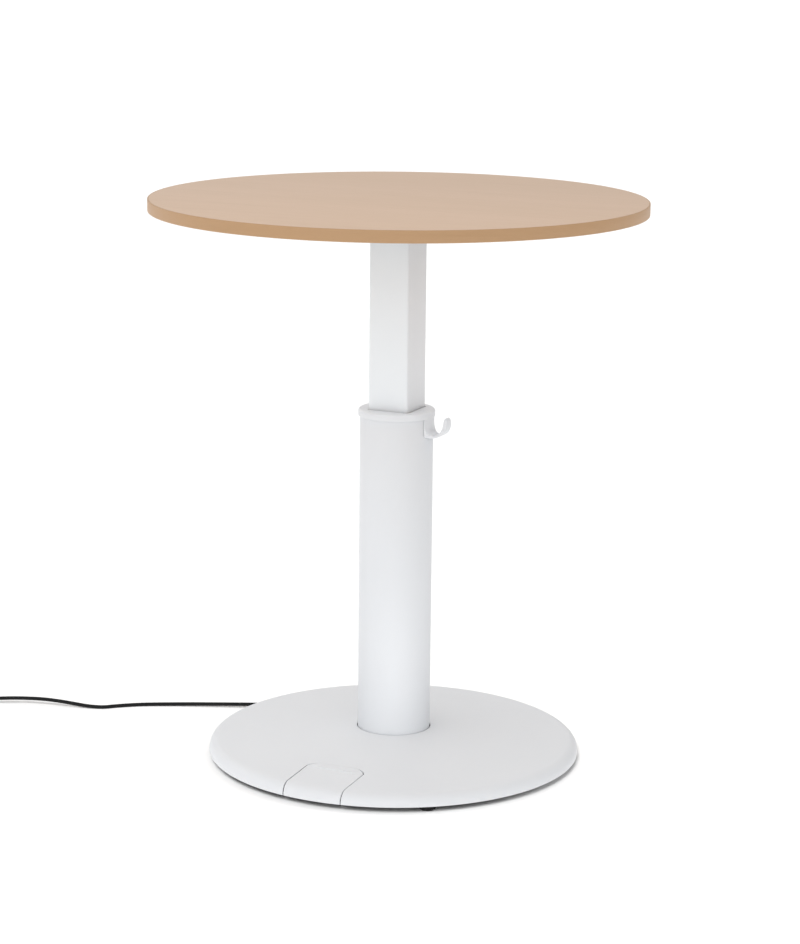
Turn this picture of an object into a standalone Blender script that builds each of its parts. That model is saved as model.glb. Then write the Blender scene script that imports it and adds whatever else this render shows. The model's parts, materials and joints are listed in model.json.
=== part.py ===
"""Round height-adjustable table on one telescopic column.

A round wooden top stands on a square inner tube that slides in a round outer
tube. A motor in the foot of the column turns an upright screw, which lifts the
inner tube by its nut. A rocking pedal let into the rim of the round base gives
the up and down command, and a mains lead leaves from under the base.

Metres in the scene, millimetres in the dimensions below. +Z is up, the pedal
points to -Y, the bag hook to +X, and the origin is on the floor on the axis.
"""

import math

import bmesh
import bpy
from mathutils import Matrix, Vector

MM = 0.001
GAP = 0.3  # clearance between pieces that touch

# ---------------------------------------------------------------- dimensions
TABLE_H = 870.0  # top face above the floor, as shown
TOP_R = 375.0
TOP_T = 18.0
BAND_T = 2.0  # edge band
FACE_T = 0.8  # top laminate

LIFT_DOWN = 170.0  # travel below and above the height shown
LIFT_UP = 220.0

BASE_R = 286.7  # outside of the base cover
BASE_LIP_Z = 12.0  # lower edge of the cover above the floor
BASE_FILLET = 16.5
COVER_T = 2.0
DOME_R0 = 57.9  # the dome's height is given from this radius
DOME_Z0 = 48.7
DOME_A = 0.0952  # slope there
DOME_B = 0.000057  # how fast it levels out
COVER_HOLE_R = 57.0

PLATE_R = 275.0
PLATE_Z0 = 13.0
PLATE_Z1 = 21.0
FLOOR_Z = PLATE_Z1 + GAP  # what stands on the base plate starts here

FEET = 5
FOOT_R = 12.8
FOOT_RING_R = 262.0

OUTER_R = 55.9
OUTER_WALL = 3.0
OUTER_TOP = 548.2
FLANGE_R = 85.0
FLANGE_T = 6.0
FLANGE_BOLT_R = 71.0

COLLAR_R = 58.6
COLLAR_TOP = 551.3
COLLAR_SKIRT_Z = 540.3
COLLAR_PLATE_T = 2.8
COLLAR_ROUND = 3.6  # of its upper edge

INNER_HALF = 32.8  # half side of the square inner tube
INNER_CORNER = 3.5
INNER_WALL = 2.5
INNER_Z0 = 220.0
INNER_Z1 = TABLE_H - TOP_T - 5.6

BUSH_Z0 = 478.0
BUSH_HALF = 35.0
PAD_T = 1.5

PEDAL_HALF = 46.55
PEDAL_GAP = 1.3  # groove beside the pedal
PEDAL_IN = 190.9  # its inner edge, from the axis
PEDAL_IN_GAP = 1.4
PEDAL_ARC = 25.3  # radius of its inner corners, which start this far from the middle
PEDAL_ARC_X = 24.1
PEDAL_STEP_Y = 206.5  # where the low step across it starts
PEDAL_T = 2.2
PIVOT_Y = -214.0
PIVOT_Z = 27.0

SCREW_R = 8.0
CORD_R = 3.0

# the mains lead: it leaves the gland along LEAD_DIR and lies on the floor
LEAD_DIR = Vector((-0.917, -0.399, 0.0)).normalized()
LEAD_EXIT = Vector((-214.0, 150.5, 7.3))
RELIEF_LEN = 28.0
COIL_CENTRE = (-711.4, -130.4)
COIL_R_IN = 21.4
COIL_R_OUT = 45.6
COIL_Z0 = 1.3
COIL_Z1 = 13.6
LEAD_ROUTE = [
    (-214.3, 150.4, 7.3),
    (-240, 139, 7.3),
    (-310, 108, 7.1),
    (-370, 85, 5.5),
    (-430, 60, 4.0),
    (-480, 34, 3.2),
    (-510, 10, 3.1),
    (-524, -3, 3.1),
    (-545, -12, 3.9),
    (-570, -20, 7.0),
    (-595, -29, 10.6),
    (-622, -35, 11.7),
    (-650, -42, 11.2),
    (-675, -52, 10.7),
    (-704, -70, 10.5),
    (-724, -83, 10.5),
]
PLUG_AT = (-724.4, -198.3, 9.8)
PLUG_TURN = math.radians(-64.9)

# ---------------------------------------------------------------- scene
for old in list(bpy.data.objects):
    bpy.data.objects.remove(old, do_unlink=True)
SCENE = bpy.context.scene.collection


def finish(name, colour, rough, metallic=0.0):
    """A plain finish: colour, roughness and whether it is bare metal."""
    mat = bpy.data.materials.new(name)
    mat.use_nodes = True
    shader = mat.node_tree.nodes["Principled BSDF"]
    shader.inputs["Base Color"].default_value = (*colour, 1.0)
    shader.inputs["Roughness"].default_value = rough
    shader.inputs["Metallic"].default_value = metallic
    mat.diffuse_color = (*colour, 1.0)
    return mat


WHITE_PAINT = finish("white_powder_coat", (0.80, 0.80, 0.80), 0.45)
WHITE_PLASTIC = finish("white_plastic", (0.78, 0.78, 0.79), 0.40)
WOOD_FACE = finish("wood_face", (0.62, 0.43, 0.28), 0.50)
WOOD_EDGE = finish("wood_edge", (0.52, 0.33, 0.17), 0.50)
BOARD = finish("particle_board", (0.45, 0.32, 0.20), 0.90)
STEEL = finish("zinc_plated_steel", (0.62, 0.62, 0.62), 0.35, 1.0)
BLACK_STEEL = finish("black_steel", (0.05, 0.05, 0.05), 0.55, 1.0)
RUBBER = finish("black_rubber", (0.02, 0.02, 0.02), 0.80)
CORD_BLACK = finish("black_pvc", (0.02, 0.02, 0.02), 0.55)
BLACK_PLASTIC = finish("black_plastic", (0.03, 0.03, 0.03), 0.50)
GLIDE = finish("natural_acetal", (0.85, 0.84, 0.80), 0.45)
GREEN_BOARD = finish("circuit_board", (0.03, 0.20, 0.08), 0.50)
BRASS = finish("contact_brass", (0.70, 0.55, 0.25), 0.30, 1.0)


def axis_empty(name, x, y, z):
    """An empty on a joint's axis, which carries the pieces that move with it."""
    empty = bpy.data.objects.new(name, None)
    empty.empty_display_size = 0.05
    empty.location = (x * MM, y * MM, z * MM)
    SCENE.objects.link(empty)
    return empty


BASE_AXIS = axis_empty("base_frame", 0, 0, 0)
LIFT_AXIS = axis_empty("lift_axis", 0, 0, INNER_Z0)
SCREW_AXIS = axis_empty("screw_axis", 0, 0, 177)
PEDAL_AXIS = axis_empty("pedal_axis", 0, PIVOT_Y, PIVOT_Z)


def add(name, bm, mat, origin=(0, 0, 0), parent=BASE_AXIS, sharp=32):
    """Turns a bmesh in millimetres into a named object with its own origin."""
    bmesh.ops.recalc_face_normals(bm, faces=bm.faces)
    bmesh.ops.transform(
        bm,
        matrix=Matrix.Scale(MM, 4) @ Matrix.Translation(-Vector(origin)),
        verts=bm.verts,
    )
    mesh = bpy.data.meshes.new(name)
    bm.to_mesh(mesh)
    bm.free()
    mesh.shade_smooth()
    mesh.set_sharp_from_angle(angle=math.radians(sharp))
    obj = bpy.data.objects.new(name, mesh)
    if mat is not None:
        mesh.materials.append(mat)
    SCENE.objects.link(obj)
    at = Vector(origin) * MM
    if parent is not None:
        obj.parent = parent
        at = at - parent.location
    obj.location = at
    return obj


def copy_of(source, name, x, y, z, turn=0.0):
    """Another of the same piece, in another place, sharing its mesh."""
    obj = bpy.data.objects.new(name, source.data)
    SCENE.objects.link(obj)
    obj.parent = source.parent
    obj.location = Vector((x, y, z)) * MM - (
        source.parent.location if source.parent else Vector()
    )
    obj.rotation_euler = (0, 0, turn)
    return obj


def turned_mesh(profile, segments):
    """A solid turned about Z from (radius, height) points. A profile that
    starts and ends on the axis is a solid of revolution, any other is closed
    into a ring."""
    bm = bmesh.new()
    verts = [bm.verts.new((r, 0, z)) for r, z in profile]
    edges = [bm.edges.new(pair) for pair in zip(verts, verts[1:])]
    if min(r for r, _ in profile) > 1e-6:
        edges.append(bm.edges.new((verts[-1], verts[0])))
    bmesh.ops.spin(
        bm,
        geom=verts + edges,
        cent=(0, 0, 0),
        axis=(0, 0, 1),
        dvec=(0, 0, 0),
        angle=2 * math.pi,
        steps=segments,
        use_merge=True,
        use_duplicate=False,
    )
    bmesh.ops.remove_doubles(bm, verts=bm.verts, dist=0.001)
    return bm


def turned(name, profile, segments, mat, at=(0, 0, 0), parent=BASE_AXIS):
    bm = turned_mesh(profile, segments)
    bmesh.ops.translate(bm, vec=at, verts=bm.verts)
    low = min(z for _, z in profile)
    return add(name, bm, mat, (at[0], at[1], at[2] + low), parent)


def rounded(hx, hy, r, steps=4):
    """Outline of a rectangle of half sides hx and hy with corner radius r."""
    out = []
    for cx, cy, a0 in (
        (hx - r, hy - r, 0),
        (r - hx, hy - r, 90),
        (r - hx, r - hy, 180),
        (hx - r, r - hy, 270),
    ):
        for k in range(steps + 1):
            a = math.radians(a0 + 90 * k / steps)
            out.append((cx + r * math.cos(a), cy + r * math.sin(a)))
    return out


def extruded_mesh(outline, z0, z1):
    bm = bmesh.new()
    face = bm.faces.new([bm.verts.new((x, y, z0)) for x, y in outline])
    up = bmesh.ops.extrude_face_region(bm, geom=[face])["geom"]
    bmesh.ops.translate(
        bm, vec=(0, 0, z1 - z0), verts=[v for v in up if isinstance(v, bmesh.types.BMVert)]
    )
    return bm


def extruded(name, outline, z0, z1, mat, parent=BASE_AXIS, sharp=32):
    cx = (min(p[0] for p in outline) + max(p[0] for p in outline)) / 2
    cy = (min(p[1] for p in outline) + max(p[1] for p in outline)) / 2
    return add(name, extruded_mesh(outline, z0, z1), mat, (cx, cy, z0), parent, sharp)


def box_mesh(x0, x1, y0, y1, z0, z1):
    return extruded_mesh([(x0, y0), (x1, y0), (x1, y1), (x0, y1)], z0, z1)


def rod_mesh(start, end, r0, r1=None, segments=16):
    """A rod, or a cone where r1 differs, from one point to another."""
    a, b = Vector(start), Vector(end)
    bm = bmesh.new()
    bmesh.ops.create_cone(
        bm,
        cap_ends=True,
        segments=segments,
        radius1=r0,
        radius2=r0 if r1 is None else r1,
        depth=(b - a).length,
    )
    turn = (b - a).to_track_quat("Z", "Y").to_matrix().to_4x4()
    bmesh.ops.transform(
        bm, matrix=Matrix.Translation((a + b) / 2) @ turn, verts=bm.verts
    )
    return bm


def merged(*parts):
    """Several bmeshes as one, for a tool that holds several loose solids."""
    out = bmesh.new()
    for part in parts:
        mesh = bpy.data.meshes.new("part")
        bmesh.ops.recalc_face_normals(part, faces=part.faces)
        part.to_mesh(mesh)
        part.free()
        out.from_mesh(mesh)
        bpy.data.meshes.remove(mesh)
    return out


def tool(name, bm, parent=None):
    """A helper solid that cuts or joins, and isn't part of the table."""
    obj = add(name, bm, None, parent=parent)
    obj.hide_render = True
    obj.display_type = "WIRE"
    return obj


def combine(obj, helper, operation):
    mod = obj.modifiers.new(helper.name, "BOOLEAN")
    mod.operation = operation
    mod.solver = "EXACT"
    mod.object = helper
    return obj


def cut(obj, name, bm):
    return combine(obj, tool(name, bm), "DIFFERENCE")


def join(obj, name, bm):
    return combine(obj, tool(name, bm), "UNION")


def smooth_route(points, spacing):
    """Points at an even spacing on a smooth curve through the given ones."""
    pts = [Vector(p) for p in points]
    pts = [2 * pts[0] - pts[1]] + pts + [2 * pts[-1] - pts[-2]]
    fine = []
    for p0, p1, p2, p3 in zip(pts, pts[1:], pts[2:], pts[3:]):
        t0 = 0.0
        t1 = t0 + (p1 - p0).length ** 0.5
        t2 = t1 + (p2 - p1).length ** 0.5
        t3 = t2 + (p3 - p2).length ** 0.5
        for k in range(24):
            t = t1 + (t2 - t1) * k / 24
            a1 = p0 * ((t1 - t) / (t1 - t0)) + p1 * ((t - t0) / (t1 - t0))
            a2 = p1 * ((t2 - t) / (t2 - t1)) + p2 * ((t - t1) / (t2 - t1))
            a3 = p2 * ((t3 - t) / (t3 - t2)) + p3 * ((t - t2) / (t3 - t2))
            b1 = a1 * ((t2 - t) / (t2 - t0)) + a2 * ((t - t0) / (t2 - t0))
            b2 = a2 * ((t3 - t) / (t3 - t1)) + a3 * ((t - t1) / (t3 - t1))
            fine.append(b1 * ((t2 - t) / (t2 - t1)) + b2 * ((t - t1) / (t2 - t1)))
    fine.append(pts[-2])
    run = [0.0]
    for a, b in zip(fine, fine[1:]):
        run.append(run[-1] + (b - a).length)
    count = max(2, round(run[-1] / spacing))
    out, i = [], 0
    for k in range(count + 1):
        want = run[-1] * k / count
        while i < len(run) - 2 and run[i + 1] < want:
            i += 1
        span = run[i + 1] - run[i]
        f = 0.0 if span <= 0 else (want - run[i]) / span
        out.append(fine[i].lerp(fine[i + 1], min(1.0, f)))
    return out


def lead(name, points, radius, mat, resolution=2, parent=BASE_AXIS):
    """A round lead: a curve with a bevel and closed ends."""
    data = bpy.data.curves.new(name, "CURVE")
    data.dimensions = "3D"
    data.bevel_depth = radius * MM
    data.bevel_resolution = resolution
    data.use_fill_caps = True
    spline = data.splines.new("POLY")
    spline.points.add(len(points) - 1)
    for point, place in zip(spline.points, points):
        point.co = (place[0] * MM, place[1] * MM, place[2] * MM, 1.0)
    data.materials.append(mat)
    obj = bpy.data.objects.new(name, data)
    SCENE.objects.link(obj)
    obj.parent = parent
    obj.location = -parent.location
    return obj


def polar(r, degrees):
    a = math.radians(degrees)
    return r * math.cos(a), r * math.sin(a)


# ---------------------------------------------------------------- base
def dome(r):
    """Height of the cover's outside, inside of its rounded rim."""
    return DOME_Z0 - DOME_A * (r - DOME_R0) + DOME_B * (r - DOME_R0) ** 2


def rim_start():
    """Radius where the dome passes into the rounded rim, and the rim's centre."""
    r = BASE_R - BASE_FILLET
    for _ in range(40):
        slope = math.atan(DOME_A - 2 * DOME_B * (r - DOME_R0))
        centre = r - BASE_FILLET * math.sin(slope)
        r += BASE_R - (centre + BASE_FILLET)
    slope = math.atan(DOME_A - 2 * DOME_B * (r - DOME_R0))
    return r, BASE_R - BASE_FILLET, dome(r) - BASE_FILLET * math.cos(slope), slope


RIM_R, RIM_CX, RIM_CZ, RIM_SLOPE = rim_start()


def cover_line(inset, start, dome_steps, rim_steps):
    """(radius, height) from the hole outwards and down to the lip, moved
    inwards by inset."""
    pts = []
    for k in range(dome_steps):
        r = start + (RIM_R - start) * k / dome_steps
        pts.append((r, dome(r) - inset))
    for k in range(rim_steps + 1):
        a = RIM_SLOPE + (math.pi / 2 - RIM_SLOPE) * k / rim_steps
        q = BASE_FILLET - inset
        pts.append((RIM_CX + q * math.sin(a), RIM_CZ + q * math.cos(a)))
    pts.append((BASE_R - inset, BASE_LIP_Z))
    return pts


FOOT_ANGLES = [-53.7, 18.3, 90.3, 162.3, 234.3]
FOOT_SPOTS = [polar(FOOT_RING_R, a) for a in FOOT_ANGLES]
BOLT_ANGLES = [45.0, 135.0, 225.0, 315.0]
BOLT_SPOTS = [polar(FLANGE_BOLT_R, a) for a in BOLT_ANGLES]
GLAND_AT = LEAD_EXIT - LEAD_DIR * (RELIEF_LEN + GAP + 13.0)

base_plate = turned(
    "base_plate",
    [
        (0, PLATE_Z0),
        (PLATE_R, PLATE_Z0),
        (PLATE_R, PLATE_Z1),
        (0, PLATE_Z1),
    ],
    64,
    BLACK_STEEL,
)
holes = [
    rod_mesh((x, y, 5), (x, y, 30), 2.8, segments=10) for x, y in FOOT_SPOTS
] + [rod_mesh((x, y, 5), (x, y, 30), 4.3, segments=12) for x, y in BOLT_SPOTS]
holes.append(
    rod_mesh((GLAND_AT.x, GLAND_AT.y, 5), (GLAND_AT.x, GLAND_AT.y, 30), 6.0, segments=12)
)
cut(base_plate, "cut_plate_holes", merged(*holes))

cover_outside = cover_line(0.0, COVER_HOLE_R, 4, 5)
cover_inside = cover_line(COVER_T, COVER_HOLE_R, 3, 3)
base_cover = turned(
    "base_cover", cover_outside + list(reversed(cover_inside)), 64, WHITE_PAINT
)
join(
    base_cover,
    "join_cover_bosses",
    merged(*[rod_mesh((x, y, FLOOR_Z), (x, y, 30.2), 6.0, segments=10) for x, y in FOOT_SPOTS]),
)
cut(
    base_cover,
    "cut_cover_pilots",
    merged(*[rod_mesh((x, y, 15), (x, y, 28.4), 2.8, segments=8) for x, y in FOOT_SPOTS]),
)
notch = PEDAL_HALF + PEDAL_GAP
arc_r = PEDAL_ARC + PEDAL_IN_GAP
arc_start = math.acos((notch - PEDAL_ARC_X) / arc_r)
notch_outline = [(notch, -330.0)]
for k in range(9):  # corner on the right, seen from above
    a = arc_start + (math.pi / 2 - arc_start) * k / 8
    notch_outline.append(
        (PEDAL_ARC_X + arc_r * math.cos(a), -PEDAL_IN - PEDAL_ARC + arc_r * math.sin(a))
    )
notch_outline += [(-x, y) for x, y in reversed(notch_outline)]
cut(base_cover, "cut_cover_notch", extruded_mesh(notch_outline, -20, 80))

foot = turned(
    "foot_1",
    [
        (5.4, 0.0),
        (9.0, 0.0),
        (11.0, 1.2),
        (12.3, 3.4),
        (FOOT_R, 6.0),
        (FOOT_R - 0.2, PLATE_Z0 - GAP),
        (2.9, PLATE_Z0 - GAP),
        (2.9, 5.0),
        (5.4, 5.0),
    ],
    20,
    RUBBER,
)
foot.location = (FOOT_SPOTS[0][0] * MM, FOOT_SPOTS[0][1] * MM, 0)
foot_screw = turned(
    "foot_screw_1",
    [(0, 1.7), (4.0, 1.7), (4.8, 2.6), (4.8, 4.7), (2.5, 4.7), (2.5, 25.5), (1.4, 27.5), (0, 27.5)],
    12,
    STEEL,
)
foot_screw.location = (FOOT_SPOTS[0][0] * MM, FOOT_SPOTS[0][1] * MM, 1.7 * MM)
for i in range(1, FEET):
    x, y = FOOT_SPOTS[i]
    copy_of(foot, f"foot_{i + 1}", x, y, 0)
    copy_of(foot_screw, f"foot_screw_{i + 1}", x, y, 1.7)

# ---------------------------------------------------------------- column, fixed
column_flange = turned(
    "column_flange",
    [
        (OUTER_R + GAP, FLOOR_Z),
        (FLANGE_R, FLOOR_Z),
        (FLANGE_R, FLOOR_Z + FLANGE_T - 1),
        (FLANGE_R - 1, FLOOR_Z + FLANGE_T),
        (OUTER_R + GAP, FLOOR_Z + FLANGE_T),
    ],
    48,
    BLACK_STEEL,
)
cut(
    column_flange,
    "cut_flange_holes",
    merged(*[rod_mesh((x, y, 15), (x, y, 35), 4.3, segments=12) for x, y in BOLT_SPOTS]),
)
bolt = turned(
    "flange_bolt_1",
    [
        (0, PLATE_Z0 + 0.4),
        (4.0, PLATE_Z0 + 0.4),
        (4.0, FLOOR_Z + FLANGE_T + GAP),
        (6.5, FLOOR_Z + FLANGE_T + GAP),
        (6.5, FLOOR_Z + FLANGE_T + GAP + 5.2),
        (5.7, FLOOR_Z + FLANGE_T + GAP + 6.0),
        (0, FLOOR_Z + FLANGE_T + GAP + 6.0),
    ],
    12,
    STEEL,
)
bolt.location = (BOLT_SPOTS[0][0] * MM, BOLT_SPOTS[0][1] * MM, (PLATE_Z0 + 0.4) * MM)
for i in range(1, 4):
    copy_of(bolt, f"flange_bolt_{i + 1}", *BOLT_SPOTS[i], PLATE_Z0 + 0.4)

outer_tube = turned(
    "outer_tube",
    [
        (OUTER_R, FLOOR_Z),
        (OUTER_R, OUTER_TOP),
        (OUTER_R - OUTER_WALL, OUTER_TOP),
        (OUTER_R - OUTER_WALL, FLOOR_Z),
    ],
    56,
    WHITE_PAINT,
)
cut(outer_tube, "cut_lead_hole", rod_mesh((0, 40, 30.5), (0, 70, 30.5), 2.8, segments=12))

guide_bush = turned(
    "guide_bush",
    [(0, BUSH_Z0), (51.7, BUSH_Z0), (52.6, BUSH_Z0 + 1), (52.6, OUTER_TOP), (0, OUTER_TOP)],
    40,
    BLACK_PLASTIC,
)
cut(guide_bush, "cut_bush_bore", extruded_mesh(rounded(BUSH_HALF, BUSH_HALF, 6.0), 470, 560))
cut(
    guide_bush,
    "cut_bush_studs",
    merged(
        rod_mesh((30, 0, 513), (42.5, 0, 513), 4.3, segments=12),
        rod_mesh((-30, 0, 513), (-42.5, 0, 513), 4.3, segments=12),
        rod_mesh((0, 30, 513), (0, 42.5, 513), 4.3, segments=12),
        rod_mesh((0, -30, 513), (0, -42.5, 513), 4.3, segments=12),
    ),
)
pad_in = INNER_HALF + GAP
pad_mesh = box_mesh(pad_in, pad_in + PAD_T, -22, 22, 482, 544)
glide_pad = add("glide_pad_right", pad_mesh, GLIDE, (0, 0, 482))
join(
    glide_pad,
    "join_pad_stud",
    rod_mesh((pad_in + 0.7, 0, 513), (41.2, 0, 513), 4.0, segments=12),
)
for name, turn in (("rear", 90), ("left", 180), ("front", 270)):
    pad = bpy.data.objects.new(f"glide_pad_{name}", glide_pad.data)
    SCENE.objects.link(pad)
    pad.parent = BASE_AXIS
    pad.location = glide_pad.location
    pad.rotation_euler = (0, 0, math.radians(turn))
    stud = bpy.data.objects.new(
        f"join_pad_stud_{name}", bpy.data.objects["join_pad_stud"].data
    )
    SCENE.objects.link(stud)
    stud.rotation_euler = (0, 0, math.radians(turn))
    stud.hide_render = True
    stud.display_type = "WIRE"
    combine(pad, stud, "UNION")


# the collar closes the outer tube and carries the bag hook in one moulding
def hook_mesh():
    """The hook: a J-shaped strip swept across its width. Each station across
    the strip is a pair of edges, under or outer then inner, and each edge is
    (distance from the axis, height, half width, how far it follows the tube's
    curve, rise of its side ends)."""
    stations = [
        ((56.4, 546.0, 18.5, 1.0, 0.0), (57.7, 546.0, 18.5, 1.0, 0.0)),
        ((56.4, 530.0, 18.5, 1.0, 0.0), (57.7, 535.0, 18.5, 1.0, 0.0)),
        ((56.4, 518.0, 18.5, 1.0, 0.0), (58.1, 527.5, 18.1, 1.0, 0.0)),
        ((56.4, 509.7, 17.8, 1.0, 4.0), (59.7, 521.2, 16.8, 0.8, -0.6)),
        ((59.6, 509.0, 16.4, 0.9, 4.0), (61.2, 518.9, 15.9, 0.65, -1.0)),
        ((64.0, 510.2, 14.2, 0.5, 1.6), (63.6, 517.2, 14.4, 0.45, -1.2)),
        ((70.0, 512.2, 12.0, 0.15, 0.3), (67.7, 516.5, 12.6, 0.2, -0.8)),
        ((76.0, 515.0, 10.6, 0.0, 0.0), (72.3, 518.0, 11.1, 0.05, 0.0)),
        ((81.5, 519.0, 10.0, 0.0, 0.0), (76.5, 521.3, 10.2, 0.0, 0.0)),
        ((85.2, 524.6, 9.8, 0.0, 0.0), (79.4, 526.5, 9.8, 0.0, 0.0)),
        ((86.9, 531.0, 9.7, 0.0, 0.0), (80.9, 532.0, 9.7, 0.0, 0.0)),
        ((86.9, 537.3, 9.0, 0.0, 0.0), (81.6, 538.0, 9.0, 0.0, 0.0)),
        ((85.9, 541.6, 6.8, 0.0, 0.0), (82.5, 541.9, 6.8, 0.0, 0.0)),
    ]
    tip = (84.3, 543.4, 4.6, 0.0, 0.0)
    columns = 8
    bm = bmesh.new()

    def row(x, z, half, follow, rise):
        out = []
        for j in range(columns + 1):
            t = -1 + 2 * j / columns
            y = t * half
            sag = x - math.sqrt(x * x - y * y)
            out.append(bm.verts.new((x - follow * sag, y, z + rise * t * t)))
        return out

    under = [row(*pair[0]) for pair in stations]
    inner = [row(*pair[1]) for pair in stations]
    end = row(*tip)
    for line in (under + [end], inner + [end]):
        for a, b in zip(line, line[1:]):
            for j in range(columns):
                bm.faces.new((a[j], a[j + 1], b[j + 1], b[j]))
    for j in range(columns):
        bm.faces.new((under[0][j], under[0][j + 1], inner[0][j + 1], inner[0][j]))
    for side in (0, -1):
        for k in range(len(stations) - 1):
            bm.faces.new(
                (under[k][side], under[k + 1][side], inner[k + 1][side], inner[k][side])
            )
        bm.faces.new((under[-1][side], end[side], inner[-1][side]))
    bmesh.ops.recalc_face_normals(bm, faces=bm.faces)
    return bm


collar_top = [
    (
        COLLAR_R - COLLAR_ROUND * (1 - math.sin(math.radians(a))),
        COLLAR_TOP - COLLAR_ROUND * (1 - math.cos(math.radians(a))),
    )
    for a in (0, 30, 60, 90)
]
collar = turned(
    "collar",
    [(0, COLLAR_TOP)]
    + collar_top
    + [
        (COLLAR_R, COLLAR_SKIRT_Z + 0.9),
        (COLLAR_R - 0.9, COLLAR_SKIRT_Z),
        (OUTER_R + GAP, COLLAR_SKIRT_Z),
        (OUTER_R + GAP, COLLAR_TOP - COLLAR_PLATE_T),
        (0, COLLAR_TOP - COLLAR_PLATE_T),
    ],
    56,
    WHITE_PLASTIC,
)
join(collar, "join_collar_hook", hook_mesh())
cut(
    collar,
    "cut_collar_bore",
    extruded_mesh(rounded(INNER_HALF + 1.9, INNER_HALF + 1.9, INNER_CORNER + 1.9), 545, 560),
)

# ---------------------------------------------------------------- drive, fixed
turned(
    "motor_mount",
    [
        (0, FLOOR_Z),
        (40, FLOOR_Z),
        (40, FLOOR_Z + 2),
        (27, FLOOR_Z + 2),
        (27, 27.5),
        (23.3, 27.5),
        (23.3, 24.0),
        (0, 24.0),
    ],
    32,
    BLACK_STEEL,
)
turned(
    "lift_motor",
    [(0, 24.3), (22, 24.3), (23, 25.3), (23, 139), (22, 140), (0, 140)],
    32,
    STEEL,
)
turned(
    "planetary_gearbox",
    [
        (0, 140.3),
        (21, 140.3),
        (22, 141.3),
        (22, 187),
        (21, 188),
        (SCREW_R / 2 + GAP, 188),
        (SCREW_R / 2 + GAP, 176),
        (0, 176),
    ],
    32,
    BLACK_STEEL,
)
turned(
    "thrust_bearing",
    [
        (SCREW_R / 2 + GAP, 188.3),
        (15.3, 188.3),
        (16, 189),
        (16, 197),
        (15.3, 197.7),
        (SCREW_R / 2 + GAP, 197.7),
    ],
    24,
    STEEL,
)

# ---------------------------------------------------------------- screw, turns
turned(
    "lead_screw",
    [
        (0, 177),
        (SCREW_R / 2, 177),
        (SCREW_R / 2, 198),
        (13, 198),
        (13, 202),
        (SCREW_R, 202),
        (SCREW_R, 640),
        (12, 640),
        (12, 645),
        (11, 646),
        (0, 646),
    ],
    24,
    STEEL,
    parent=SCREW_AXIS,
)

# ---------------------------------------------------------------- lifted pieces
inner_tube = extruded(
    "inner_tube",
    rounded(INNER_HALF, INNER_HALF, INNER_CORNER, 5),
    INNER_Z0,
    INNER_Z1,
    WHITE_PAINT,
    LIFT_AXIS,
)
bore = INNER_HALF - INNER_WALL
cut(inner_tube, "cut_inner_bore", extruded_mesh(rounded(bore, bore, 1.2, 3), 200, 870))

turned(
    "lift_nut",
    [
        (SCREW_R + GAP, 384),
        (15, 384),
        (15, 397.7),
        (23, 397.7),
        (23, 403),
        (15, 403),
        (15, 414),
        (SCREW_R + GAP, 414),
    ],
    32,
    BRASS,
    parent=LIFT_AXIS,
)
nut_carrier = extruded(
    "nut_carrier",
    rounded(bore - GAP, bore - GAP, 1.2, 3),
    403.3,
    413.3,
    BLACK_STEEL,
    LIFT_AXIS,
)
cut(nut_carrier, "cut_carrier_bore", rod_mesh((0, 0, 390), (0, 0, 430), 15.3, segments=32))

lower_guide = turned(
    "lower_guide",
    [(0, 205), (51.8, 205), (52.6, 206), (52.6, 219.7), (0, 219.7)],
    40,
    BLACK_PLASTIC,
    parent=LIFT_AXIS,
)
join(
    lower_guide,
    "join_guide_spigot",
    extruded_mesh(rounded(bore - GAP, bore - GAP, 1.2, 3), 212, 240),
)
cut(lower_guide, "cut_guide_bore", rod_mesh((0, 0, 195), (0, 0, 250), 27.0, segments=32))

plate_z = INNER_Z1 + GAP
top_plate = extruded(
    "top_plate", rounded(110, 110, 14, 4), plate_z, plate_z + 5, BLACK_STEEL, LIFT_AXIS
)
join(
    top_plate,
    "join_plate_socket",
    extruded_mesh(rounded(bore - GAP, bore - GAP, 1.2, 3), plate_z - 15, plate_z + 2),
)
cut(top_plate, "cut_plate_socket", extruded_mesh(rounded(24, 24, 2, 3), plate_z - 30, plate_z + 1))
TOP_SCREWS = [(85, 85), (-85, 85), (-85, -85), (85, -85)]
cut(
    top_plate,
    "cut_plate_screws",
    merged(*[rod_mesh((x, y, 840), (x, y, 860), 2.8, segments=12) for x, y in TOP_SCREWS]),
)

core_z0 = TABLE_H - TOP_T
core_z1 = TABLE_H - FACE_T - GAP
tabletop_core = turned(
    "tabletop_core",
    [
        (0, core_z0),
        (TOP_R - BAND_T - GAP, core_z0),
        (TOP_R - BAND_T - GAP, core_z1),
        (0, core_z1),
    ],
    80,
    BOARD,
    parent=LIFT_AXIS,
)
cut(
    tabletop_core,
    "cut_core_pilots",
    merged(*[rod_mesh((x, y, 845), (x, y, 866), 2.6, segments=12) for x, y in TOP_SCREWS]),
)
turned(
    "tabletop_face",
    [
        (0, TABLE_H - FACE_T),
        (TOP_R - BAND_T - GAP, TABLE_H - FACE_T),
        (TOP_R - BAND_T - GAP, TABLE_H),
        (0, TABLE_H),
    ],
    80,
    WOOD_FACE,
    parent=LIFT_AXIS,
)
turned(
    "edge_band",
    [
        (TOP_R - BAND_T, core_z0),
        (TOP_R - 0.7, core_z0),
        (TOP_R, core_z0 + 0.7),
        (TOP_R, TABLE_H - 0.7),
        (TOP_R - 0.7, TABLE_H),
        (TOP_R - BAND_T, TABLE_H),
    ],
    80,
    WOOD_EDGE,
    parent=LIFT_AXIS,
)
top_screw = turned(
    "top_screw_1",
    [
        (0, plate_z - GAP - 3.0),
        (3.8, plate_z - GAP - 3.0),
        (5.0, plate_z - GAP - 1.6),
        (5.0, plate_z - GAP),
        (2.25, plate_z - GAP),
        (2.25, 861.5),
        (0, 865),
    ],
    12,
    STEEL,
    parent=LIFT_AXIS,
)
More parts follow.
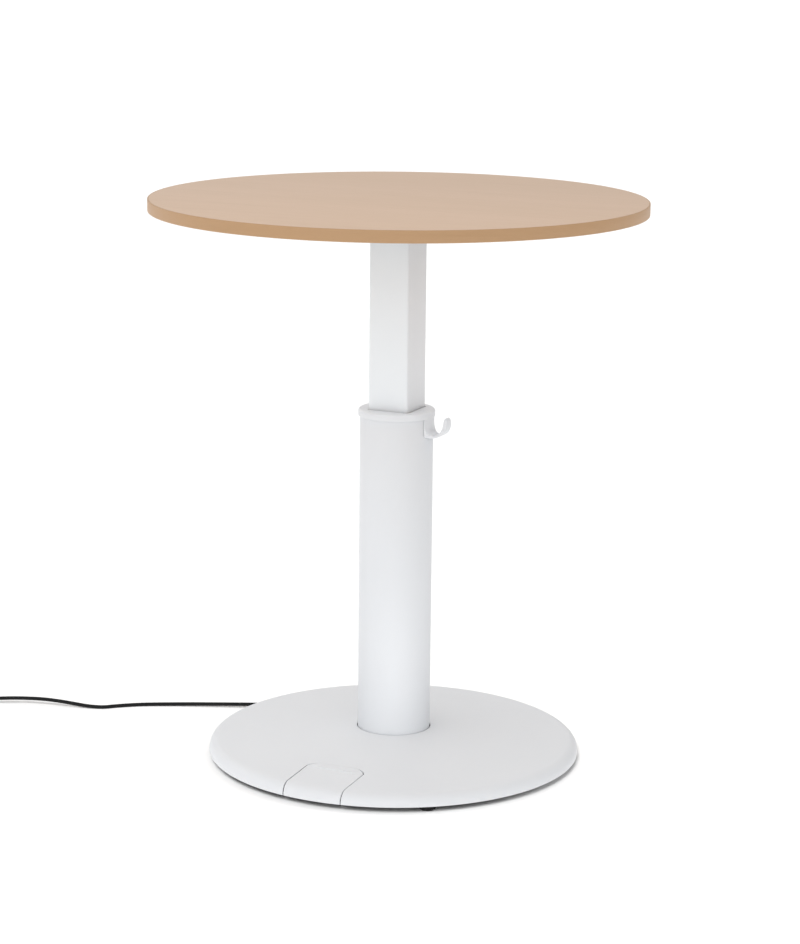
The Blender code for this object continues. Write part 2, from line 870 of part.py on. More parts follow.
screw_low = plate_z - GAP - 3.0
top_screw.location = Vector((TOP_SCREWS[0][0], TOP_SCREWS[0][1], screw_low - INNER_Z0)) * MM
for i in range(1, 4):
    copy_of(top_screw, f"top_screw_{i + 1}", *TOP_SCREWS[i], screw_low)


# ---------------------------------------------------------------- pedal
def pedal_mesh(across=12, around=5):
    """The rocking panel: it follows the cover's dome and rim between two
    straight grooves. Inside of a low step across it, it stands a little above
    the cover."""

    def column(x, inset):
        into = max(0.0, abs(x) - PEDAL_ARC_X)
        y_in = PEDAL_IN + PEDAL_ARC - math.sqrt(PEDAL_ARC**2 - into**2)
        line = []
        start, stop = y_in, math.sqrt(RIM_R**2 - x * x)
        step = PEDAL_STEP_Y
        for y, rise in (
            (start, 0.65),
            (start + (step - start) * 0.5, 0.71),
            (max(step, start + 0.3), 0.78),
            (step + 2.2, 0.35),
            (step + 4.5, 0.0),
            (step + 12.0, 0.0),
        ):
            fade = min(1.0, max(0.0, (46.0 - 0.5 * (y - PEDAL_IN) - abs(x)) / 10.0))
            fade *= fade * (3 - 2 * fade)
            line.append((x, -y, dome(math.hypot(x, y)) + rise * fade - inset))
        start = step - 18.0
        line.append((x, -(start + 30 + stop) / 2, dome(math.hypot(x, (start + 30 + stop) / 2)) - inset))
        for k in range(around + 1):
            a = RIM_SLOPE + (math.pi / 2 - RIM_SLOPE) * k / around
            q = BASE_FILLET - inset
            r, z = RIM_CX + q * math.sin(a), RIM_CZ + q * math.cos(a)
            line.append((x, -math.sqrt(r * r - x * x), z))
        r = BASE_R - inset
        line.append((x, -math.sqrt(r * r - x * x), BASE_LIP_Z))
        return line

    xs = [PEDAL_HALF * math.sin(math.pi / 2 * (2 * k / across - 1)) for k in range(across + 1)]
    bm = bmesh.new()
    top = [[bm.verts.new(p) for p in column(x, 0.0)] for x in xs]
    low = [[bm.verts.new(p) for p in column(x, PEDAL_T)] for x in xs]
    for a, b in zip(top, top[1:]):
        for i in range(len(a) - 1):
            bm.faces.new((a[i], a[i + 1], b[i + 1], b[i]))
    for a, b in zip(low, low[1:]):
        for i in range(len(a) - 1):
            bm.faces.new((a[i], b[i], b[i + 1], a[i + 1]))
    for a, b in ((top[0], low[0]), (low[-1], top[-1])):
        for i in range(len(a) - 1):
            bm.faces.new((a[i], b[i], b[i + 1], a[i + 1]))
    for i in (0, -1):
        for a, b, c_, d in zip(top, top[1:], low, low[1:]):
            bm.faces.new((a[i], b[i], d[i], c_[i]))
    bmesh.ops.recalc_face_normals(bm, faces=bm.faces)
    return bm


pedal = add("pedal", pedal_mesh(), WHITE_PAINT, (0, PIVOT_Y, PIVOT_Z), PEDAL_AXIS)
join(
    pedal,
    "join_pedal_ears",
    merged(box_mesh(33, 36.5, -219.5, -208.5, 23.6, 33.9), box_mesh(-36.5, -33, -219.5, -208.5, 23.6, 33.9)),
)
cut(
    pedal,
    "cut_pedal_ears",
    rod_mesh((-45, PIVOT_Y, PIVOT_Z), (45, PIVOT_Y, PIVOT_Z), 2.3, segments=16),
)
bracket_outline = [
    (-32.5, FLOOR_Z),
    (32.5, FLOOR_Z),
    (32.5, 30.3),
    (30.0, 30.3),
    (30.0, FLOOR_Z + 2),
    (-30.0, FLOOR_Z + 2),
    (-30.0, 30.3),
    (-32.5, 30.3),
]
bracket_mesh = extruded_mesh(bracket_outline, -8, 8)
bmesh.ops.transform(
    bracket_mesh,
    matrix=Matrix.Translation((0, PIVOT_Y, 0)) @ Matrix.Rotation(math.pi / 2, 4, "X"),
    verts=bracket_mesh.verts,
)
pedal_bracket = add("pedal_bracket", bracket_mesh, STEEL, (0, PIVOT_Y, FLOOR_Z))
cut(
    pedal_bracket,
    "cut_bracket_pin",
    rod_mesh((-45, PIVOT_Y, PIVOT_Z), (45, PIVOT_Y, PIVOT_Z), 2.3, segments=16),
)
add(
    "pedal_pin",
    rod_mesh((-38.5, PIVOT_Y, PIVOT_Z), (38.5, PIVOT_Y, PIVOT_Z), 2.0, segments=16),
    STEEL,
    (0, PIVOT_Y, PIVOT_Z),
)


def spring_points(x, y, z0, z1, radius, turns):
    """A wire spring with flat end turns."""
    pts, per = [], 8
    total = int(turns * per)
    for k in range(total + 1):
        a = 2 * math.pi * k / per
        f = min(1.0, max(0.0, (k / per - 0.7) / (turns - 1.4)))
        pts.append((x + radius * math.cos(a), y + radius * math.sin(a), z0 + (z1 - z0) * f))
    return pts


for name, x in (("pedal_spring_left", -20), ("pedal_spring_right", 20)):
    lead(name, spring_points(x, -256, FLOOR_Z + 0.5, 28.7, 3.6, 3.5), 0.45, STEEL, 1)
for name, x in (("switch_up", -8), ("switch_down", 8)):
    switch = add(
        name,
        box_mesh(x - 2.9, x + 2.9, -246, -233, FLOOR_Z, 27.6),
        BLACK_PLASTIC,
        (x, -239.5, FLOOR_Z),
    )
    join(switch, f"join_{name}", box_mesh(x - 1, x + 1, -243.5, -241.5, 27, 28.7))

# ---------------------------------------------------------------- electrics
tray = add(
    "control_tray",
    box_mesh(-55, 55, 88, 148, FLOOR_Z, 34.8),
    BLACK_PLASTIC,
    (0, 118, FLOOR_Z),
)
cut(tray, "cut_tray", box_mesh(-53.4, 53.4, 89.6, 146.4, FLOOR_Z + 1.6, 45))
add(
    "control_lid",
    extruded_mesh([(x, y + 118) for x, y in rounded(55, 30, 2, 2)], 35.1, 37.3),
    BLACK_PLASTIC,
    (0, 118, 35.1),
)
board = add(
    "control_board",
    box_mesh(-50, 50, 93, 143, 25.0, 26.6),
    GREEN_BOARD,
    (0, 118, 25),
)
join(
    board,
    "join_board_parts",
    merged(
        box_mesh(-42, -18, 100, 122, 26, 34),
        box_mesh(5, 21, 98, 110, 26, 32.5),
        rod_mesh((34, 128, 26), (34, 128, 34), 5.5, segments=12),
        rod_mesh((20, 128, 26), (20, 128, 33), 4.5, segments=12),
    ),
)
lead(
    "mains_lead_inside",
    smooth_route(
        [
            (GLAND_AT.x, GLAND_AT.y, 13.2),
            (GLAND_AT.x + 0.2, GLAND_AT.y - 0.1, 19.0),
            (GLAND_AT.x + 3.4, GLAND_AT.y - 1.5, 24.4),
            (GLAND_AT.x + 13.0, GLAND_AT.y - 5.5, 26.4),
            (-120.0, 145.0, 26.0),
            (-82.0, 124.0, 27.0),
            (-68.0, 118.5, 27.4),
            (-55.4, 118.0, 27.5),
        ],
        8.0,
    ),
    2.3,
    CORD_BLACK,
)
lead(
    "motor_lead",
    [(0, 87.6, 30.5), (0, 76, 30.5), (0, 64, 30.5), (0, 54, 30.5), (0, 42, 30.5), (0, 32, 30.5), (0, 23.5, 30.5)],
    2.0,
    CORD_BLACK,
)
lead(
    "switch_lead",
    smooth_route(
        [
            (11.3, -239.5, 23.3),
            (20.0, -239.4, 23.2),
            (32.0, -237.0, 23.2),
            (43.0, -227.0, 23.2),
            (51.0, -205.0, 23.2),
            (72.0, -160.0, 23.2),
            (98.0, -80.0, 23.2),
            (104.0, 0.0, 23.2),
            (92.0, 65.0, 23.4),
            (78.0, 99.0, 25.0),
            (68.0, 104.6, 26.0),
            (55.6, 105.0, 26.2),
        ],
        15.0,
    ),
    1.5,
    CORD_BLACK,
)

# ---------------------------------------------------------------- mains lead
gland_turn = math.atan2(LEAD_DIR.y, LEAD_DIR.x)
gland_mesh = extruded_mesh(rounded(13, 9.5, 2.5, 3), 2.0, PLATE_Z0 - GAP)
cord_gland = add("cord_gland", gland_mesh, BLACK_PLASTIC, (0, 0, 2.0))
cord_gland.location = (GLAND_AT.x * MM, GLAND_AT.y * MM, 2.0 * MM)
cord_gland.rotation_euler = (0, 0, gland_turn)

relief = turned(
    "strain_relief",
    [(0, 0), (5.0, 0), (5.0, 3.0), (4.3, 12), (3.7, RELIEF_LEN - 1), (3.4, RELIEF_LEN), (0, RELIEF_LEN)],
    16,
    CORD_BLACK,
)
relief.rotation_mode = "QUATERNION"
relief.rotation_quaternion = LEAD_DIR.to_track_quat("Z", "Y")
relief.location = (LEAD_EXIT - LEAD_DIR * RELIEF_LEN) * MM

lead("mains_cord", smooth_route(LEAD_ROUTE, 12.0), CORD_R, CORD_BLACK)

turned(
    "cord_coil",
    [
        (COIL_R_IN, COIL_Z0 + 2),
        (COIL_R_IN + 2, COIL_Z0),
        (COIL_R_OUT - 2, COIL_Z0),
        (COIL_R_OUT, COIL_Z0 + 2),
        (COIL_R_OUT, COIL_Z1 - 2),
        (COIL_R_OUT - 2, COIL_Z1),
        (COIL_R_IN + 2, COIL_Z1),
        (COIL_R_IN, COIL_Z1 - 2),
    ],
    32,
    CORD_BLACK,
    at=(*COIL_CENTRE, 0),
)
tie_mesh = box_mesh(19.6, 46.75, -5, 5, 0.2, 14.7)
tie = add("cord_tie", tie_mesh, BLACK_PLASTIC, (0, 0, 0))
tie_turn = math.radians(329.7)
tie.location = (COIL_CENTRE[0] * MM, COIL_CENTRE[1] * MM, 0)
tie.rotation_euler = (0, 0, tie_turn)
tie_hole = tool("cut_tie", box_mesh(20.4, 45.95, -8, 8, 1.0, 13.9))
tie_hole.location = tie.location
tie_hole.rotation_euler = tie.rotation_euler
combine(tie, tie_hole, "DIFFERENCE")

plug_body = extruded_mesh(rounded(17, 13, 4, 3), -9.2, 9.2)
bmesh.ops.translate(plug_body, vec=(37, 0, 0), verts=plug_body.verts)
plug = add("plug", plug_body, BLACK_PLASTIC)
place = Matrix.Translation(Vector(PLUG_AT) * MM) @ Matrix.Rotation(PLUG_TURN, 4, "Z")
plug.matrix_local = place
for i, extra in enumerate(
    (
        rod_mesh((-29, 0, -4.2), (6, 0, 0.3), 3.0, segments=10),
        rod_mesh((0, 0, 0), (24, 0, 0), 3.6, 7.0, segments=16),
        merged(
            box_mesh(50, 71, -7.1, -5.6, -3.2, 3.2),
            box_mesh(50, 71, 5.6, 7.1, -3.2, 3.2),
        ),
    )
):
    helper = tool(f"join_plug_{i}", extra)
    helper.matrix_local = place
    combine(plug, helper, "UNION")
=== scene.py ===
"""Looks of the round height-adjustable table: finer visible pieces, finishes,
the mains lead at its real length, a plain studio and the camera."""

import json
import math

import bmesh
import bpy
from mathutils import Matrix, Vector


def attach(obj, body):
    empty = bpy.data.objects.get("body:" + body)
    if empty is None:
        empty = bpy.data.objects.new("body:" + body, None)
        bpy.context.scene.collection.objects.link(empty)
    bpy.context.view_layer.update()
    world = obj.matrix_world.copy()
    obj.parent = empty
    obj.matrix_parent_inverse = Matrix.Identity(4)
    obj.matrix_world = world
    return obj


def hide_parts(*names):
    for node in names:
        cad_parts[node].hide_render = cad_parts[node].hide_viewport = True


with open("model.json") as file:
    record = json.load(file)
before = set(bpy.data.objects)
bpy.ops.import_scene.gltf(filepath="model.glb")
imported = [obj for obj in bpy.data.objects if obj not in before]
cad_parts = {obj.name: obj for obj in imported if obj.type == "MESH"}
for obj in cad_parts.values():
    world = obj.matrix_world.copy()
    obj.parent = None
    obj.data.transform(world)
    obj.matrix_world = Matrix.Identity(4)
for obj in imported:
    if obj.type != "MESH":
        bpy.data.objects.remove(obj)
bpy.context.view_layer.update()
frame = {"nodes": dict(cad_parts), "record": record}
NODES = frame["nodes"]
MM = 0.001
SCENE = bpy.context.scene

# ------------------------------------------------------------------ camera
YAW = math.radians(25.1)  # how far the pedal points to the camera's left
DISTANCE, HEIGHT = 4.0681, 1.3442
PAN, TILT, ROLL = math.radians(0.082), math.radians(12.381), math.radians(0.598)

side = Vector((math.cos(YAW), math.sin(YAW), 0))
away = Vector((-math.sin(YAW), math.cos(YAW), 0))
up = Vector((0, 0, 1))
right = side * math.cos(PAN) - away * math.sin(PAN)
ahead = side * math.sin(PAN) + away * math.cos(PAN)
look = ahead * math.cos(TILT) - up * math.sin(TILT)
above = ahead * math.sin(TILT) + up * math.cos(TILT)
cam_x = right * math.cos(ROLL) + above * math.sin(ROLL)
cam_y = above * math.cos(ROLL) - right * math.sin(ROLL)
camera_data = bpy.data.cameras.new("camera")
camera_data.sensor_width = 36.0
camera_data.lens = 103.96
camera_data.clip_start, camera_data.clip_end = 0.1, 60.0
camera = bpy.data.objects.new("camera", camera_data)
SCENE.collection.objects.link(camera)
place = Matrix((cam_x, cam_y, -look)).transposed().to_4x4()
place.translation = -away * DISTANCE + up * HEIGHT
camera.matrix_world = place
SCENE.camera = camera


# ------------------------------------------------------------------ materials
class Shader:
    """A Principled material with a short way of adding texture nodes."""

    def __init__(self, name, colour, rough, metallic=0.0, **constants):
        self.mat = bpy.data.materials.new(name)
        self.mat.use_nodes = True
        self.tree = self.mat.node_tree
        self.bsdf = self.tree.nodes["Principled BSDF"]
        self.bsdf.inputs["Base Color"].default_value = (*colour, 1)
        self.bsdf.inputs["Roughness"].default_value = rough
        self.bsdf.inputs["Metallic"].default_value = metallic
        for key, value in constants.items():
            self.bsdf.inputs[key.replace("_", " ")].default_value = value
        self.mat.diffuse_color = (*colour, 1)
        self.coords = self.node("ShaderNodeTexCoord").outputs["Object"]

    def node(self, kind, **settings):
        made = self.tree.nodes.new(kind)
        for key, value in settings.items():
            setattr(made, key, value)
        return made

    def wire(self, a, b):
        self.tree.links.new(a, b)

    def stretch(self, scale, turn=0.0, source=None):
        """Coordinates scaled per axis, after a turn about Z."""
        spin = self.node("ShaderNodeMapping")
        spin.inputs["Rotation"].default_value = (0, 0, turn)
        self.wire(source or self.coords, spin.inputs["Vector"])
        size = self.node("ShaderNodeMapping")
        size.inputs["Scale"].default_value = scale
        self.wire(spin.outputs["Vector"], size.inputs["Vector"])
        return size.outputs["Vector"]

    def noise(self, scale, detail=2.0, rough=0.5, source=None, distortion=0.0):
        n = self.node("ShaderNodeTexNoise")
        n.inputs["Scale"].default_value = scale
        n.inputs["Detail"].default_value = detail
        n.inputs["Roughness"].default_value = rough
        n.inputs["Distortion"].default_value = distortion
        self.wire(source or self.coords, n.inputs["Vector"])
        return n.outputs["Fac"]

    def remap(self, value, lo, hi, to_lo, to_hi):
        r = self.node("ShaderNodeMapRange")
        self.wire(value, r.inputs["Value"])
        for key, v in (("From Min", lo), ("From Max", hi), ("To Min", to_lo), ("To Max", to_hi)):
            r.inputs[key].default_value = v
        return r.outputs["Result"]

    def ramp(self, value, *stops):
        r = self.node("ShaderNodeValToRGB")
        elements = r.color_ramp.elements
        elements[0].position, elements[1].position = stops[0][0], stops[-1][0]
        for position, _ in stops[1:-1]:
            elements.new(position)
        for element, (_, colour) in zip(elements, stops):
            element.color = (*colour, 1)
        self.wire(value, r.inputs["Fac"])
        return r.outputs["Color"]

    def blend(self, factor, a, b, kind="MIX"):
        m = self.node("ShaderNodeMix", data_type="RGBA", blend_type=kind)
        for socket, value in ((m.inputs["Factor"], factor), (m.inputs[6], a), (m.inputs[7], b)):
            if isinstance(value, bpy.types.NodeSocket):
                self.wire(value, socket)
            elif isinstance(value, tuple):
                socket.default_value = (*value, 1)
            else:
                socket.default_value = value
        return m.outputs[2]

    def maths(self, operation, a, b=None):
        m = self.node("ShaderNodeMath", operation=operation)
        for socket, value in zip(m.inputs, (a, b)):
            if isinstance(value, bpy.types.NodeSocket):
                self.wire(value, socket)
            elif value is not None:
                socket.default_value = value
        return m.outputs[0]

    def colour(self, socket):
        self.wire(socket, self.bsdf.inputs["Base Color"])

    def rough(self, socket):
        self.wire(socket, self.bsdf.inputs["Roughness"])

    def bump(self, height, distance, strength=1.0, before=None):
        """distance is in metres for a height from 0 to 1."""
        b = self.node("ShaderNodeBump")
        b.inputs["Strength"].default_value = strength
        b.inputs["Distance"].default_value = distance
        self.wire(height, b.inputs["Height"])
        if before is not None:
            self.wire(before, b.inputs["Normal"])
        self.wire(b.outputs["Normal"], self.bsdf.inputs["Normal"])
        return b.outputs["Normal"]


def powder_coat(name, tone):
    s = Shader(name, tone, 0.46)
    cloud = s.noise(5.0, 3.0)
    dark = tuple(c * 0.985 for c in tone)
    s.colour(s.ramp(cloud, (0.30, dark), (0.70, tone)))
    peel = s.noise(620.0, 2.0, 0.55)
    grain = s.noise(2600.0, 1.0)
    s.rough(s.remap(s.noise(160.0, 2.0), 0.3, 0.7, 0.42, 0.52))
    first = s.bump(peel, 0.000020, 1.0)
    s.bump(grain, 0.000006, 1.0, first)
    return s.mat


def moulded_plastic(name, tone, rough=0.38, texture=0.000008):
    s = Shader(name, tone, rough)
    dark = tuple(c * 0.98 for c in tone)
    s.colour(s.ramp(s.noise(9.0, 2.0), (0.3, dark), (0.7, tone)))
    s.rough(s.remap(s.noise(300.0, 2.0), 0.3, 0.7, rough - 0.04, rough + 0.06))
    s.bump(s.noise(1500.0, 2.0, 0.6), texture)
    return s.mat


def wood(name, base, wrap=False):
    """Even pale wood with a faint straight grain, small flecks and pores. On
    the edge the grain runs round the rim."""
    s = Shader(name, base, 0.45)
    source = s.coords
    if wrap:
        parts = s.node("ShaderNodeSeparateXYZ")
        s.wire(s.coords, parts.inputs[0])
        angle = s.maths("ARCTAN2", parts.outputs["Y"], parts.outputs["X"])
        run = s.maths("MULTIPLY", angle, 0.375)
        joined = s.node("ShaderNodeCombineXYZ")
        s.wire(run, joined.inputs["X"])
        s.wire(parts.outputs["Z"], joined.inputs["Y"])
        source = joined.outputs[0]
    broad = s.noise(1.0, 2.0, 0.5, s.stretch((1.6, 9.0, 9.0), source=source), 0.4)
    figure = s.noise(1.0, 4.0, 0.6, s.stretch((5.0, 120.0, 120.0), source=source), 0.2)
    fibre = s.noise(1.0, 3.0, 0.7, s.stretch((28.0, 1400.0, 1400.0), source=source))
    fleck = s.noise(1.0, 1.0, 0.5, s.stretch((160.0, 900.0, 900.0), source=source))

    def tint(k, r=1.0, b=1.0):
        return (base[0] * k * r, base[1] * k, base[2] * k * b)

    tone = s.ramp(broad, (0.30, tint(0.975, 1.004, 0.985)), (0.70, tint(1.02, 1.0, 1.01)))
    lines = s.ramp(figure, (0.25, (0.955, 0.945, 0.925)), (0.50, (1, 1, 1)), (0.80, (1.0, 0.995, 0.985)))
    tone = s.blend(1.0, tone, lines, "MULTIPLY")
    fine = s.ramp(fibre, (0.25, (0.965, 0.955, 0.94)), (0.62, (1, 1, 1)))
    tone = s.blend(1.0, tone, fine, "MULTIPLY")
    marks = s.remap(fleck, 0.66, 0.74, 0.0, 0.16)
    tone = s.blend(marks, tone, tint(0.72, 1.03, 0.86))
    s.colour(tone)
    s.rough(s.remap(fibre, 0.3, 0.7, 0.50, 0.42))
    s.bump(fibre, 0.000018, 0.8)
    return s.mat


def bare_metal(name, tone, rough, along=(40.0, 40.0, 1200.0)):
    s = Shader(name, tone, rough, 1.0)
    brushed = s.noise(1.0, 3.0, 0.6, s.stretch(along))
    spots = s.noise(90.0, 3.0)
    dark = tuple(c * 0.82 for c in tone)
    s.colour(s.ramp(spots, (0.35, dark), (0.62, tone)))
    s.rough(s.remap(brushed, 0.3, 0.7, rough - 0.07, rough + 0.10))
    s.bump(brushed, 0.000008)
    return s.mat


def black_rubber(name):
    s = Shader(name, (0.010, 0.010, 0.011), 0.75, Specular_IOR_Level=0.25)
    s.colour(s.ramp(s.noise(70.0, 4.0), (0.35, (0.007, 0.007, 0.008)), (0.70, (0.014, 0.014, 0.014))))
    s.rough(s.remap(s.noise(200.0, 2.0), 0.3, 0.7, 0.66, 0.84))
    s.bump(s.noise(1800.0, 3.0, 0.6), 0.000030)
    return s.mat


def cord_jacket(name):
    s = Shader(name, (0.006, 0.006, 0.007), 0.5, Specular_IOR_Level=0.20)
    s.colour(s.ramp(s.noise(35.0, 2.0), (0.3, (0.005, 0.005, 0.006)), (0.7, (0.009, 0.009, 0.009))))
    s.rough(s.remap(s.noise(420.0, 2.0), 0.3, 0.7, 0.44, 0.60))
    s.bump(s.noise(1300.0, 2.0, 0.5), 0.000020)
    return s.mat


def dark_paint(name, tone=(0.020, 0.020, 0.021)):
    s = Shader(name, tone, 0.5)
    light = tuple(c * 1.5 for c in tone)
    s.colour(s.ramp(s.noise(14.0, 4.0), (0.35, tone), (0.75, light)))
    s.rough(s.remap(s.noise(120.0, 3.0), 0.3, 0.7, 0.42, 0.60))
    s.bump(s.noise(700.0, 2.0, 0.55), 0.000030)
    return s.mat


def backing_foil(name):
    s = Shader(name, (0.60, 0.43, 0.30), 0.6)
    figure = s.noise(1.0, 3.0, 0.6, s.stretch((6.0, 90.0, 90.0)))
    s.colour(s.ramp(figure, (0.30, (0.58, 0.415, 0.29)), (0.70, (0.63, 0.455, 0.32))))
    s.rough(s.remap(s.noise(90.0, 2.0), 0.3, 0.7, 0.55, 0.68))
    s.bump(s.noise(900.0, 2.0), 0.000015)
    return s.mat


def circuit_board(name):
    s = Shader(name, (0.03, 0.16, 0.07), 0.4)
    cells = s.node("ShaderNodeTexVoronoi", feature="DISTANCE_TO_EDGE")
    cells.inputs["Scale"].default_value = 260.0
    s.wire(s.coords, cells.inputs["Vector"])
    s.colour(s.ramp(cells.outputs["Distance"], (0.04, (0.09, 0.26, 0.12)), (0.10, (0.02, 0.13, 0.055))))
    s.bump(s.noise(600.0, 2.0), 0.00002)
    return s.mat


WHITE = (0.783, 0.802, 0.828)
M_PAINT = powder_coat("white_powder_coat", WHITE)
M_TUBE = powder_coat("white_tube_coat", (0.756, 0.774, 0.799))
M_PLASTIC = moulded_plastic("white_plastic", (0.755, 0.768, 0.788), 0.40, 0.000006)
M_FACE = wood("wood_face", (0.633, 0.444, 0.308))
M_EDGE = wood("wood_edge", (0.492, 0.298, 0.155), wrap=True)
M_BOARD = backing_foil("particle_board")
M_STEEL = bare_metal("zinc_plated_steel", (0.60, 0.60, 0.60), 0.34)
M_BLACK = dark_paint("black_steel")
M_RUBBER = black_rubber("black_rubber")
M_CORD = cord_jacket("black_pvc")
M_BLACK_PLASTIC = moulded_plastic("black_plastic", (0.022, 0.022, 0.024), 0.42, 0.000014)
M_ACETAL = moulded_plastic("natural_acetal", (0.80, 0.79, 0.75), 0.40)
M_PCB = circuit_board("circuit_board")
M_BRASS = bare_metal("contact_brass", (0.66, 0.50, 0.22), 0.30)
BY_SLOT = {
    "white_powder_coat": M_PAINT,
    "white_plastic": M_PLASTIC,
    "wood_face": M_FACE,
    "wood_edge": M_EDGE,
    "particle_board": M_BOARD,
    "zinc_plated_steel": M_STEEL,
    "black_steel": M_BLACK,
    "black_rubber": M_RUBBER,
    "black_pvc": M_CORD,
    "black_plastic": M_BLACK_PLASTIC,
    "natural_acetal": M_ACETAL,
    "circuit_board": M_PCB,
    "contact_brass": M_BRASS,
}
SLOT_OF = {s["node"]: s["material_slot"] for s in frame["record"]["subparts"]}
for name, node in NODES.items():
    for holder in node.material_slots:
        holder.material = BY_SLOT[SLOT_OF[name]]


# ------------------------------------------------------------------ mesh helpers
def piece(name, bm, mat, body, nodes=(), sharp=35, smooth=True):
    """A bmesh in millimetres as a piece of the table, riding on a body."""
    bmesh.ops.recalc_face_normals(bm, faces=bm.faces)
    bmesh.ops.scale(bm, vec=(MM, MM, MM), verts=bm.verts)
    mesh = bpy.data.meshes.new(name)
    bm.to_mesh(mesh)
    bm.free()
    obj = bpy.data.objects.new(name, mesh)
    mesh.materials.append(mat)
    SCENE.collection.objects.link(obj)
    if smooth:
        mesh.shade_smooth()
        mesh.set_sharp_from_angle(angle=math.radians(sharp))
    if body:
        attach(obj, body)
        if nodes:
            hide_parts(*nodes)
    return obj


def lathe(profile, segments, start=0.0):
    """A solid turned about Z from (radius, height) points. A profile that ends
    on the axis is capped there, any other closes into a ring."""
    bm = bmesh.new()
    rings = []
    for r, z in profile:
        if r < 1e-6:
            rings.append([bm.verts.new((0, 0, z))])
            continue
        rings.append(
            [
                bm.verts.new((r * math.cos(a), r * math.sin(a), z))
                for a in (start + 2 * math.pi * k / segments for k in range(segments))
            ]
        )
    pairs = list(zip(rings, rings[1:]))
    if len(rings[0]) > 1 and len(rings[-1]) > 1:
        pairs.append((rings[-1], rings[0]))
    for a, b in pairs:
        for k in range(segments):
            n = (k + 1) % segments
            if len(a) == 1 and len(b) == 1:
                break
            if len(a) == 1:
                bm.faces.new((a[0], b[k], b[n]))
            elif len(b) == 1:
                bm.faces.new((a[k], b[0], a[n]))
            else:
                bm.faces.new((a[k], b[k], b[n], a[n]))
    return bm


def softened(points, radii, steps=4):
    """A profile whose corners are rounded: radii gives each corner's radius."""
    out = [points[0]] if not radii[0] else []
    count = len(points)
    for i, (p, radius) in enumerate(zip(points, radii)):
        if i == 0 and not radius:
            continue
        if not radius:
            out.append(p)
            continue
        p = Vector(p)
        a = (Vector(points[i - 1]) - p).normalized()
        b = (Vector(points[(i + 1) % count]) - p).normalized()
        half = a.angle(b) / 2
        reach = radius / math.tan(half)
        centre = p + (a + b).normalized() * (radius / math.sin(half))
        v0, v1 = p + a * reach - centre, p + b * reach - centre
        full = v0.angle(v1)
        for k in range(steps + 1):
            t = k / steps
            q = (v0 * math.sin((1 - t) * full) + v1 * math.sin(t * full)) / math.sin(full)
            out.append(tuple(centre + q))
    return out


def rounded(hx, hy, r, steps=8):
    out = []
    for cx, cy, a0 in ((hx - r, hy - r, 0), (r - hx, hy - r, 90), (r - hx, r - hy, 180), (hx - r, r - hy, 270)):
        for k in range(steps + 1):
            a = math.radians(a0 + 90 * k / steps)
            out.append((cx + r * math.cos(a), cy + r * math.sin(a)))
    return out


def prism(outline, z0, z1):
    bm = bmesh.new()
    face = bm.faces.new([bm.verts.new((x, y, z0)) for x, y in outline])
    raised = bmesh.ops.extrude_face_region(bm, geom=[face])["geom"]
    bmesh.ops.translate(
        bm, vec=(0, 0, z1 - z0), verts=[v for v in raised if isinstance(v, bmesh.types.BMVert)]
    )
    return bm


def loft(rows, close_rows=True, close_ends=True):
    """Quads between rows of points, each row a closed loop."""
    bm = bmesh.new()
    made = [[bm.verts.new(p) for p in row] for row in rows]
    n = len(made[0])
    for a, b in zip(made, made[1:]):
        for k in range(n if close_rows else n - 1):
            m = (k + 1) % n
            bm.faces.new((a[k], a[m], b[m], b[k]))
    if close_ends:
        bm.faces.new(made[0])
        bm.faces.new(made[-1])
    return bm


def applied(obj, helper, operation):
    """A Boolean whose result is kept in the mesh."""
    mod = obj.modifiers.new("shape", "BOOLEAN")
    mod.operation, mod.solver, mod.object = operation, "EXACT", helper
    bpy.context.view_layer.update()
    graph = bpy.context.evaluated_depsgraph_get()
    mesh = bpy.data.meshes.new_from_object(obj.evaluated_get(graph))
    obj.modifiers.clear()
    old, obj.data = obj.data, mesh
    bpy.data.meshes.remove(old)
    helper_mesh = helper.data
    bpy.data.objects.remove(helper)
    bpy.data.meshes.remove(helper_mesh)
    return obj


def helper(bm):
    bmesh.ops.recalc_face_normals(bm, faces=bm.faces)
    bmesh.ops.scale(bm, vec=(MM, MM, MM), verts=bm.verts)
    mesh = bpy.data.meshes.new("helper")
    bm.to_mesh(mesh)
    bm.free()
    obj = bpy.data.objects.new("helper", mesh)
    SCENE.collection.objects.link(obj)
    return obj


def edges_softened(obj, width, segments=2, angle=40):
    mod = obj.modifiers.new("edges", "BEVEL")
    mod.width, mod.segments = width * MM, segments
    mod.limit_method, mod.angle_limit = "ANGLE", math.radians(angle)
    mod.use_clamp_overlap = True
    return obj


